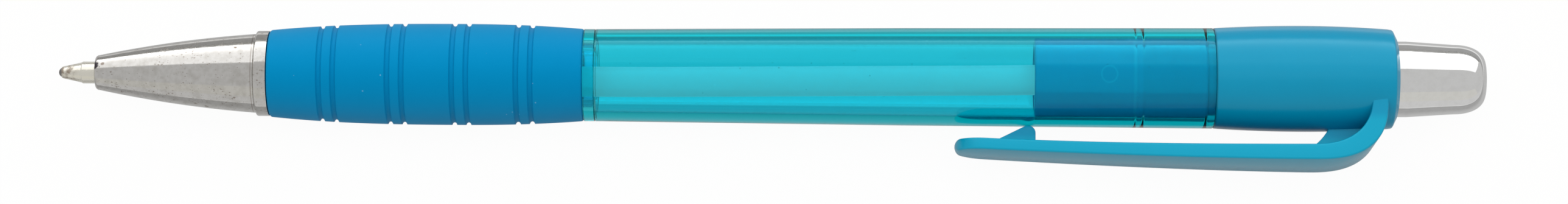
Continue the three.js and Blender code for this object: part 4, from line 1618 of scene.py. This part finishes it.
    def make(self) -> Object:
        """Makes the cap, joined with its clip.

        Returns:
            The piece.
        """
        clip = combine(self.make_clip_strip(), self.make_fin(), "UNION")
        clip = combine(clip, self.make_gusset(), "UNION")
        wall = (self.well_radius + self.radius(self.clip_back)) / 2
        ahead = self.clip_tip - 1
        bar = self.turned("inside", stairs(0.0, ahead, wall, self.rear, 0.0))
        clip = combine(clip, bar, "DIFFERENCE")
        piece = combine(self.cut_grooves(self.make_shell()), clip, "UNION")
        shade(piece.data)
        return self.place(piece, CAP_PLASTIC, Body.HOUSING, "cap_body", "blue_cap")


@dataclass
class Button(Assembly):
    """The chrome push button."""

    cap: Cap
    exposed: float = 8.85
    straight: float = 1.0
    shoulder_radius: float = 3.45
    end_length: float = 3.1
    end_squareness: Point = (0.92, 0.86)
    face_radius: float = 1.45
    wall: float = 0.45
    shell_front: float = 120.2
    front_bevel: float = 0.1

    def side(self, inset: float, count: int) -> Outline:
        """The button's side behind the cap: straight, tapered, then rounded.

        Args:
            inset: how far inside the outer face.
            count: the steps in its rounded end.

        Returns:
            The points, from front to rear.
        """
        shoulder = self.cap.rear + self.exposed - self.end_length
        reach, rise = self.end_length - inset, self.shoulder_radius - inset - self.face_radius
        square_along, square_up = self.end_squareness
        end = [
            (
                shoulder + reach * math.cos(QUARTER * (1 - t)) ** square_along,
                self.face_radius + rise * math.sin(QUARTER * (1 - t)) ** square_up,
            )
            for t in steps(count)
        ]
        return [(self.cap.rear + self.straight, self.cap.button_radius - inset), *end]

    def make(self) -> Object:
        """Makes the shell.

        Returns:
            The piece.
        """
        end = self.cap.rear + self.exposed
        radius = self.cap.button_radius
        outer = self.side(0.0, 28)
        taper = [tuple(Vector(outer[0]).lerp(Vector(outer[1]), t)) for t in steps(8)[1:-1]]
        outline = [
            (end - self.wall, 0.0),
            *self.side(self.wall, 12)[::-1],
            (self.shell_front, radius - self.wall),
            (self.shell_front, radius - self.front_bevel),
            (self.shell_front + self.front_bevel, radius),
            outer[0],
            *taper,
            *outer[1:],
            (end, 0.0),
        ]
        piece = self.turned("push_button_chrome", outline)
        return self.place(piece, CHROME, Body.BUTTON, "button_shell", "chrome_plate")


@dataclass
class Refill(Assembly):
    """The refill: tube, holder, tip and ball. The soft tube bows a little inside the barrel."""

    housing: Housing
    radius: float = 1.5
    bore: float = 1.15
    tube_front: float = 21.06
    tube_rear: float = 104.0
    holder_front: float = 9.03
    holder_radius: float = 1.4
    flange_front: float = 20.03
    flange_rear: float = 21.03
    holder_rear: float = 25.03
    tip_radius: float = 1.08
    tip_rear: float = 9.0
    tip_bore: float = 0.45
    spigot_radius: float = 0.75
    spigot_rear: float = 12.0
    cone_rear: float = -1.4
    cone_radius: float = 1.0
    lip_front: float = -3.38
    lip_wall: float = 0.04
    lip_points: tuple[Point, ...] = ((0.12, 0.585), (0.5, 0.67))
    socket_rear_angle: float = 0.16 * math.pi
    throat_front: float = 1.3
    throat_rear: float = 1.5
    ball_centre: float = -3.2
    ball_radius: float = 0.5
    ball_gap: float = 0.025
    bow: tuple[Point, ...] = ((25.0, 0.0), (40.0, 0.52), (51.0, 0.70), (93.0, 0.30), (101.5, 0.0))
    bow_blur: float = 5.0
    ink_rear: float = 83.06
    grease_length: float = 4.0
    filling_gap: float = 0.02

    def bow_at(self, station: float) -> float:
        """How far the tube's middle line lies from the pen's axis, with rounded turns.

        Args:
            station: the station.

        Returns:
            The distance.
        """

        def straight(at: float) -> float:
            """The same with sharp turns."""
            for (a, low), (b, high) in zip(self.bow, self.bow[1:]):
                if a <= at <= b:
                    return lerp(low, high, (at - a) / (b - a))
            return 0.0

        return sum(straight(station + self.bow_blur * k / 10) for k in range(-10, 11)) / 21

    def bend(self, piece: Object) -> Object:
        """Moves a straight piece onto the refill's bowed middle line.

        Args:
            piece: the piece.

        Returns:
            The same piece.
        """
        toward_clip = self.lie.point(0, -1) - self.lie.point(0)
        for vert in piece.data.vertices:
            vert.co += toward_clip * self.bow_at((vert.co.x - self.lie.front.x) / MM)
        return piece

    def make_tube(self) -> Object:
        """Makes the white tube, bowed toward the clip.

        Returns:
            The piece.
        """
        side = along(self.tube_front, self.tube_rear, 120, lambda s: self.radius)
        bore = [(s, self.bore) for s, _ in side[::-4]]
        piece = self.bend(self.turned("refill_tube_white", [*side, *bore], Roundness.SMALL))
        return self.place(piece, REFILL_PLASTIC, Body.REFILL, "refill_tube", "white_plastic")

    def make_filling(self, node: str, finish: Moulding, slot: str, front: float, rear: float) -> Object:
        """A filling of the bowed tube.

        Args:
            node: the CAD node that it stands for.
            finish: its finish.
            slot: its material slot; not used.
            front: the station where it begins.
            rear: the station where it ends.

        Returns:
            The filling.
        """
        side = along(front, rear, 60, lambda s: self.bore - self.filling_gap)
        outline = [(front, 0.0), *side, (rear, 0.0)]
        piece = self.bend(self.turned(node + "_bowed", outline, Roundness.SMALL))
        return self.place(piece, finish, Body.REFILL, node, slot)

    def make_fillings(self) -> list[Object]:
        """Makes the ink in the tube and the grease behind it.

        Returns:
            Both pieces.
        """
        ink_front = self.holder_rear + self.filling_gap
        grease_front = self.ink_rear + self.filling_gap
        grease_rear = grease_front + self.grease_length
        return [
            self.make_filling("ink_column", INK, "black_ink", ink_front, self.ink_rear),
            self.make_filling("grease_plug", GREASE, "pale_grease", grease_front, grease_rear),
        ]

    def make_holder(self) -> Object:
        """Makes the holder between the tip and the tube, with the spring's flange.

        Returns:
            The piece.
        """
        gap = self.housing.seat_gap
        bore, plug = self.spigot_radius + gap, self.bore - gap
        outline = stairs(
            bore, self.holder_front, self.holder_radius, self.flange_front, self.housing.chamber_radius,
            self.flange_rear, plug, self.holder_rear, bore,
        )
        outline = rounded(outline, {1: 0.3, 3: 0.12, 4: 0.12, 6: 0.2})
        piece = self.turned("tip_holder_white", outline, Roundness.SMALL)
        return self.place(piece, WHITE_PLASTIC, Body.REFILL, "tip_holder", "white_plastic")

    def make_tip(self) -> Object:
        """Makes the metal tip, with its socket closed in round the ball.

        Returns:
            The piece.
        """
        reach = self.ball_radius + self.ball_gap
        opening = math.acos((self.ball_centre - self.lip_front) / reach)
        socket = arc(self.ball_centre, reach, math.pi - opening, self.socket_rear_angle, 12)
        steps_back = stairs(
            self.tip_radius, self.tip_rear, self.spigot_radius, self.spigot_rear, self.tip_bore
        )
        outside = rounded(
            [
                (self.lip_front, socket[0][1] + self.lip_wall),
                *[(self.lip_front + reach, radius) for reach, radius in self.lip_points],
                (self.cone_rear, self.cone_radius),
                (self.cone_rear + 0.1, self.tip_radius),
                *steps_back,
            ],
            {2: 0.2, 3: 0.1, 4: 0.06, 5: 0.1},
        )
        inside = [
            (self.ball_centre + self.throat_rear, self.tip_bore),
            (self.ball_centre + self.throat_front, socket[-1][1]),
            *socket[::-1],
        ]
        piece = self.turned("refill_tip_metal", [*outside, *inside], Roundness.PLAIN)
        return self.place(piece, TIP_METAL, Body.REFILL, "refill_tip", "nickel_silver")

    def make_ball(self) -> Object:
        """Makes the writing ball.

        Returns:
            The piece.
        """
        front, *side, rear = arc(self.ball_centre, self.ball_radius, math.pi, 0.0, 24)
        outline = [(front[0], 0.0), *side, (rear[0], 0.0)]
        piece = self.turned("writing_ball_ground", outline, Roundness.SMALL)
        return self.place(piece, BALL_METAL, Body.BALL, "writing_ball", "ball_carbide")


@dataclass
class ReturnSpring(Assembly):
    """The return spring between the nose cone and the holder's flange."""

    refill: Refill
    curls: float = 12.0
    coil_radius: float = 1.775
    wire_radius: float = 0.175
    wire_sides: int = 12
    seat_gap: float = 0.05
    points: int = 12 * 24

    def tree(self) -> Grower:
        """Makes geometry nodes that wind a wire into a helix along X.

        Returns:
            The tree.
        """
        g = Grower("wound_wire")
        centre = g.named("Front", "Vector")
        length, coil, wire, curls = (g.named(n) for n in ("Length", "Coil Radius", "Wire Radius", "Curls"))
        count = g.named("Points", "Int")
        material = g.named("Material", "Material")
        line = g.result("GeometryNodeCurvePrimitiveLine", "Curve")
        fine = g.result("GeometryNodeResampleCurve", "Curve", Curve=line, Count=count)
        share = g.result("GeometryNodeSplineParameter", "Factor")
        turn = g.times(g.times(share, curls), 2 * math.pi)
        across, up = (g.times(g.math(wave, turn), coil) for wave in ("COSINE", "SINE"))
        spot = g.result("CombineXYZ", "Vector", X=g.times(share, length), Y=across, Z=up)
        spot = g.vector("ADD", spot, centre)
        wound = g.result("GeometryNodeSetPosition", "Geometry", Geometry=fine, Position=spot)
        ring = g.result("GeometryNodeCurvePrimitiveCircle", "Curve", Resolution=self.wire_sides, Radius=wire)
        ends = {"Curve": wound, "Profile_Curve": ring, "Fill_Caps": True}
        g.end(g.result("GeometryNodeCurveToMesh", "Mesh", **ends), material)
        return g

    def make(self) -> Object:
        """Makes the spring between its seats.

        Returns:
            The piece.
        """
        front = self.refill.housing.spring_seat + self.wire_radius + self.seat_gap
        rear = self.refill.flange_front - self.wire_radius - self.seat_gap
        name = "return_spring_wire"
        values = {
            "Front": tuple(self.lie.point(front)),
            "Length": (rear - front) * MM,
            "Coil Radius": self.coil_radius * MM,
            "Wire Radius": self.wire_radius * MM,
            "Curls": self.curls,
            "Points": self.points,
            "Material": self.materials[SPRING_WIRE],
        }
        piece = self.tree().grow(new_object(name, bpy.data.meshes.new(name)), values)
        finish_mesh(piece.data, 60)
        tuple(self.lie.point(front))
        tuple(self.lie.point(rear))
        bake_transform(piece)
        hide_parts("return_spring")
        return piece


# Studio


@dataclass(frozen=True)
class Studio:
    """The desk, the softbox, the room and the camera. Its sizes are in metres, apart from those in mm."""

    lie: Lie
    camera_elevation: float = 72.3
    camera_distance_mm: float = 455.4
    lens_mm: float = 105.0
    sensor_mm: float = 36.0
    aim_station: float = 73.76
    aim_pixel_x: float = 1375.0
    aim_pixel_y: float = 125.5
    tilt_degrees: float = 0.3
    softbox_low: float = 13.0
    softbox_high: float = 75.0
    softbox_distance: float = 0.7
    softbox_length: float = 1.9
    softbox_dim: float = 0.6
    softbox_bright: float = 3.0
    softbox_fade: float = 5.0
    top_size: float = 0.42
    top_glow: float = 2.2
    # painted light: what is seen through the plastic glows cyan and brighter
    through_light: Color = rgb(0.0, 1.0, 1.0)
    through_strength: float = 1.13
    flag_height: float = 0.125
    flag_shade: Color = rgb(0.36, 0.36, 0.36)
    fill_height: float = 0.45
    fill_light: Color = rgb(0.60, 0.595, 0.57)
    room_shade: float = 0.55
    room_light: float = 0.45
    floor_side: float = 4.0
    paper: Color = rgb(0.72, 0.71, 0.68)
    camera_shadow: float = 0.04
    barrel_shadow: float = 0.08
    paper_bands_mm: tuple[tuple[float, float], ...] = (
        (-60.0, 0.6), (-15.7, 0.6), (-15.1, 0.78), (-14.2, 0.78), (-13.8, 0.34), (-12.5, 0.34), (-11.7, 0.38),
        (-7.0, 0.38), (-3.0, 0.5), (16.0, 0.52), (17.5, 0.85), (21.0, 0.85), (25.0, 0.36), (60.0, 0.36),
    )

    def make_camera(self) -> None:
        """The camera of the photograph."""
        elevation, tilt = math.radians(self.camera_elevation), math.radians(self.tilt_degrees)
        back = Vector((0, -math.cos(elevation), math.sin(elevation)))
        level_up = Vector((0, math.sin(elevation), math.cos(elevation)))
        right = Vector((1, 0, 0)) * math.cos(tilt) + level_up * math.sin(tilt)
        data = bpy.data.cameras.new("photo_camera")
        data.lens = self.lens_mm
        data.sensor_width = self.sensor_mm
        data.shift_x = (PHOTO_WIDTH / 2 - self.aim_pixel_x) / PHOTO_WIDTH
        data.shift_y = (self.aim_pixel_y - PHOTO_HEIGHT / 2) / PHOTO_WIDTH
        data.clip_start = 0.01
        camera = new_object("photo_camera", data)
        at = self.lie.point(self.aim_station) + back * self.camera_distance_mm * MM
        turn = Matrix((right, back.cross(right), back)).transposed().to_4x4()
        camera.matrix_world = Matrix.Translation(at) @ turn
        bpy.context.scene.camera = camera

    def make_sheet(self, name: str, corners: Sequence[Vector]) -> tuple[Object, Tree]:
        """A flat staged sheet.

        Args:
            name: the sheet's name.
            corners: its four corners.

        Returns:
            The sheet, and the tree of its empty material.
        """
        sheet = new_object(name, new_mesh(name, corners, [(0, 1, 2, 3)]))
        material = bpy.data.materials.new(name)
        material.use_nodes = True
        material.node_tree.nodes.clear()
        dress(sheet, material)
        return sheet, Tree(material.node_tree)

    def make_lamp(self, name: str, height: float, glow: float = 1.0) -> Object:
        """An area lamp as long as the softbox, which shines about as bright as its glow says.

        Args:
            name: the lamp's name.
            height: its height.
            glow: how bright it looks.

        Returns:
            The lamp.
        """
        lamp = bpy.data.lights.new(name, "AREA")
        lamp.shape = "RECTANGLE"
        lamp.size, lamp.size_y = self.softbox_length, height
        lamp.energy = math.pi * self.softbox_length * height * glow
        return new_object(name, lamp)

    def make_softbox(self) -> None:
        """One large softbox behind and above the pen, brightest at its lower edge."""
        low, high = math.radians(self.softbox_low), math.radians(self.softbox_high)
        middle, half = (low + high) / 2, (high - low) / 2
        out = Vector((0, math.cos(middle), math.sin(middle)))
        up = Vector((0, -math.sin(middle), math.cos(middle)))
        holder = self.make_lamp("softbox", 2 * self.softbox_distance * math.tan(half))
        holder.data.use_nodes = True
        holder.data.node_tree.nodes.clear()
        tree = Tree(holder.data.node_tree)
        height = tree.part(tree.node("NewGeometry").outputs["Parametric"], "Y")
        fade = tree.math("POWER", tree.math("SUBTRACT", 1.0, height, True), self.softbox_fade)
        strength = tree.plus(tree.times(fade, self.softbox_bright - self.softbox_dim), self.softbox_dim)
        glow = tree.node("Emission", {"Strength": strength})
        tree.node("OutputLight", {"Surface": glow.outputs[0]})
        turn = Matrix((up.cross(out), up, out)).transposed().to_4x4()
        holder.matrix_world = Matrix.Translation(out * self.softbox_distance) @ turn

    def make_top_light(self) -> None:
        """A soft light overhead, which the polished pieces don't show."""
        holder = self.make_lamp("top_light", self.top_size, self.top_glow)
        holder.location = (0, 0, self.softbox_distance)
        holder.visible_glossy = False
        holder.visible_transmission = False

    def make_card(self, name: str, y: float, height: float, shade: Color, kind: str) -> None:
        """A long upright card beside the pen, which the polished pieces show as a band.

        Args:
            name: the card's name.
            y: where it stands.
            height: how high it is.
            shade: its colour.
            kind: its shader: Emission glows by itself and BsdfDiffuse doesn't.
        """
        low, high = Vector((0, y, 0)), Vector((0, y, height))
        wide = Vector((self.softbox_length / 2, 0, 0))
        card, tree = self.make_sheet(name, (low - wide, low + wide, high + wide, high - wide))
        card.visible_camera = False
        cloth = tree.node(kind, {"Color": shade})
        tree.node("OutputMaterial", {"Surface": cloth.outputs[0]})

    def through(self, tree: Tree, ray: dict[Ray, Socket]) -> tuple[Socket, Socket]:
        """The painted cyan tint and extra strength of the desk and the room where they are seen through the
        plastic, standing in for the tinted light under the pen.
        """
        tint = tree.mix(ray[Ray.TRANSMISSION], WHITE, self.through_light)
        return tint, tree.times(ray[Ray.TRANSMISSION], self.through_strength - 1)

    def make_room(self) -> None:
        """A plain grey room that shows white behind the pen."""
        world = bpy.data.worlds.new("room")
        world.use_nodes = True
        world.node_tree.nodes.clear()
        tree = Tree(world.node_tree)
        ray = tree.rays()
        tint, extra = self.through(tree, ray)
        seen = tree.math("MAXIMUM", ray[Ray.CAMERA], ray[Ray.TRANSMISSION])
        glossy = tree.times(ray[Ray.GLOSSY], self.room_shade - self.room_light)
        strength = tree.plus(tree.times(seen, 1 - self.room_light), self.room_light)
        strength = tree.plus(tree.plus(strength, extra), glossy)
        background = tree.node("Background", {"Color": tint, "Strength": strength})
        tree.node("OutputWorld", {"Surface": background.outputs[0]})
        bpy.context.scene.world = world

    def make_paper_shade(self, tree: Tree) -> Socket:
        """How light the desk looks in the polished pieces: bands along the pen, by distance from it.

        Args:
            tree: the desk's shader.

        Returns:
            The colour.
        """
        place = tree.part(tree.node("TexCoord").outputs["Object"], "Y")
        reach = self.paper_bands_mm[-1][0]
        ends = {"Value": place, "From Min": -reach * MM, "From Max": reach * MM}
        bands = tree.node("ValToRGB", {0: tree.node("MapRange", ends).outputs["Result"]})
        elements = bands.color_ramp.elements
        for spot, shade in self.paper_bands_mm[1:-1]:
            elements.new((spot + reach) / (2 * reach)).color = rgb(shade, shade, shade)
        for end in (0, -1):
            shade = self.paper_bands_mm[end][1]
            elements[end].color = rgb(shade, shade, shade)
        return bands.outputs["Color"]

    def make_floor(self) -> None:
        """A pale desk that looks white and keeps a soft shadow of the pen."""
        half = self.floor_side / 2
        corners = [Vector((x * half, y * half, 0)) for x, y in ((-1, -1), (1, -1), (1, 1), (-1, 1))]
        _, tree = self.make_sheet("desk", corners)
        ray = tree.rays()
        tint, extra = self.through(tree, ray)
        color = tree.mix(ray[Ray.GLOSSY], tint, self.make_paper_shade(tree))
        paper = tree.node("BsdfDiffuse", {"Color": self.paper})
        glow = tree.node("Emission", {"Color": color, "Strength": tree.plus(extra, 1.0)})
        share = tree.times(ray[Ray.CAMERA], 1 - self.camera_shadow)
        through = tree.times(ray[Ray.TRANSMISSION], 1 - self.barrel_shadow)
        share = tree.math("MAXIMUM", tree.math("MAXIMUM", share, through), ray[Ray.GLOSSY])
        tree.node("OutputMaterial", {"Surface": tree.mix_shaders(share, paper, glow)})

    def make(self) -> None:
        """Everything round the pen."""
        bpy.context.scene.view_settings.view_transform = "Standard"
        self.make_camera()
        self.make_softbox()
        self.make_top_light()
        flag_y = self.softbox_distance + 0.05
        self.make_card("flag", flag_y, self.flag_height, self.flag_shade, "BsdfDiffuse")
        self.make_card("fill_card", -self.softbox_distance, self.fill_height, self.fill_light, "Emission")
        self.make_room()
        self.make_floor()


CARRIED_OVER = {"plunger_core": PLUNGER_PLASTIC, "cam_rotor": WHITE_PLASTIC}


def find_lie() -> Lie:
    """Takes the pen's axis from the CAD nodes and rolls it until cap and clip meet the desk.

    Returns:
        Where the pen lies.
    """
    low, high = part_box("refill_tube")
    nose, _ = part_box("nose_cone")
    height = Cap.clip_inner_height + Cap.clip_thickness
    edge = math.hypot(height, Cap.root_width / 2)
    roll = math.asin(Cap.crown_radius / edge) - math.atan2(Cap.root_width / 2, height)
    return Lie(Vector((nose.x, (low.y + high.y) / 2, (low.z + high.z) / 2)), roll)


def main() -> None:
    """Builds the pen and its studio in order."""
    logging.basicConfig(level=logging.INFO, format="%(name)s %(message)s")
    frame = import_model()
    lie = find_lie()
    effects = Effects()
    materials = {finish: finish.make(lie, effects) for finish in FINISHES}
    housing = Housing(lie, materials)
    cap = Cap(lie, materials, housing)
    refill = Refill(lie, materials, housing)
    made = [
        housing.make_nose(),
        Grip(lie, materials, housing).make(),
        housing.make_front_section(),
        housing.make_barrel(),
        cap.make(),
        Button(lie, materials, cap).make(),
        refill.make_tube(),
        *refill.make_fillings(),
        refill.make_holder(),
        refill.make_tip(),
        refill.make_ball(),
        ReturnSpring(lie, materials, refill).make(),
    ]
    for node, finish in CARRIED_OVER.items():
        piece = frame["nodes"][node]
        dress(piece, materials[finish])
        made.append(piece)
    for piece in made:
        log.info("%s: %d faces", piece.name, len(piece.data.polygons))
    Studio(lie).make()


if __name__ == "__main__":
    main()
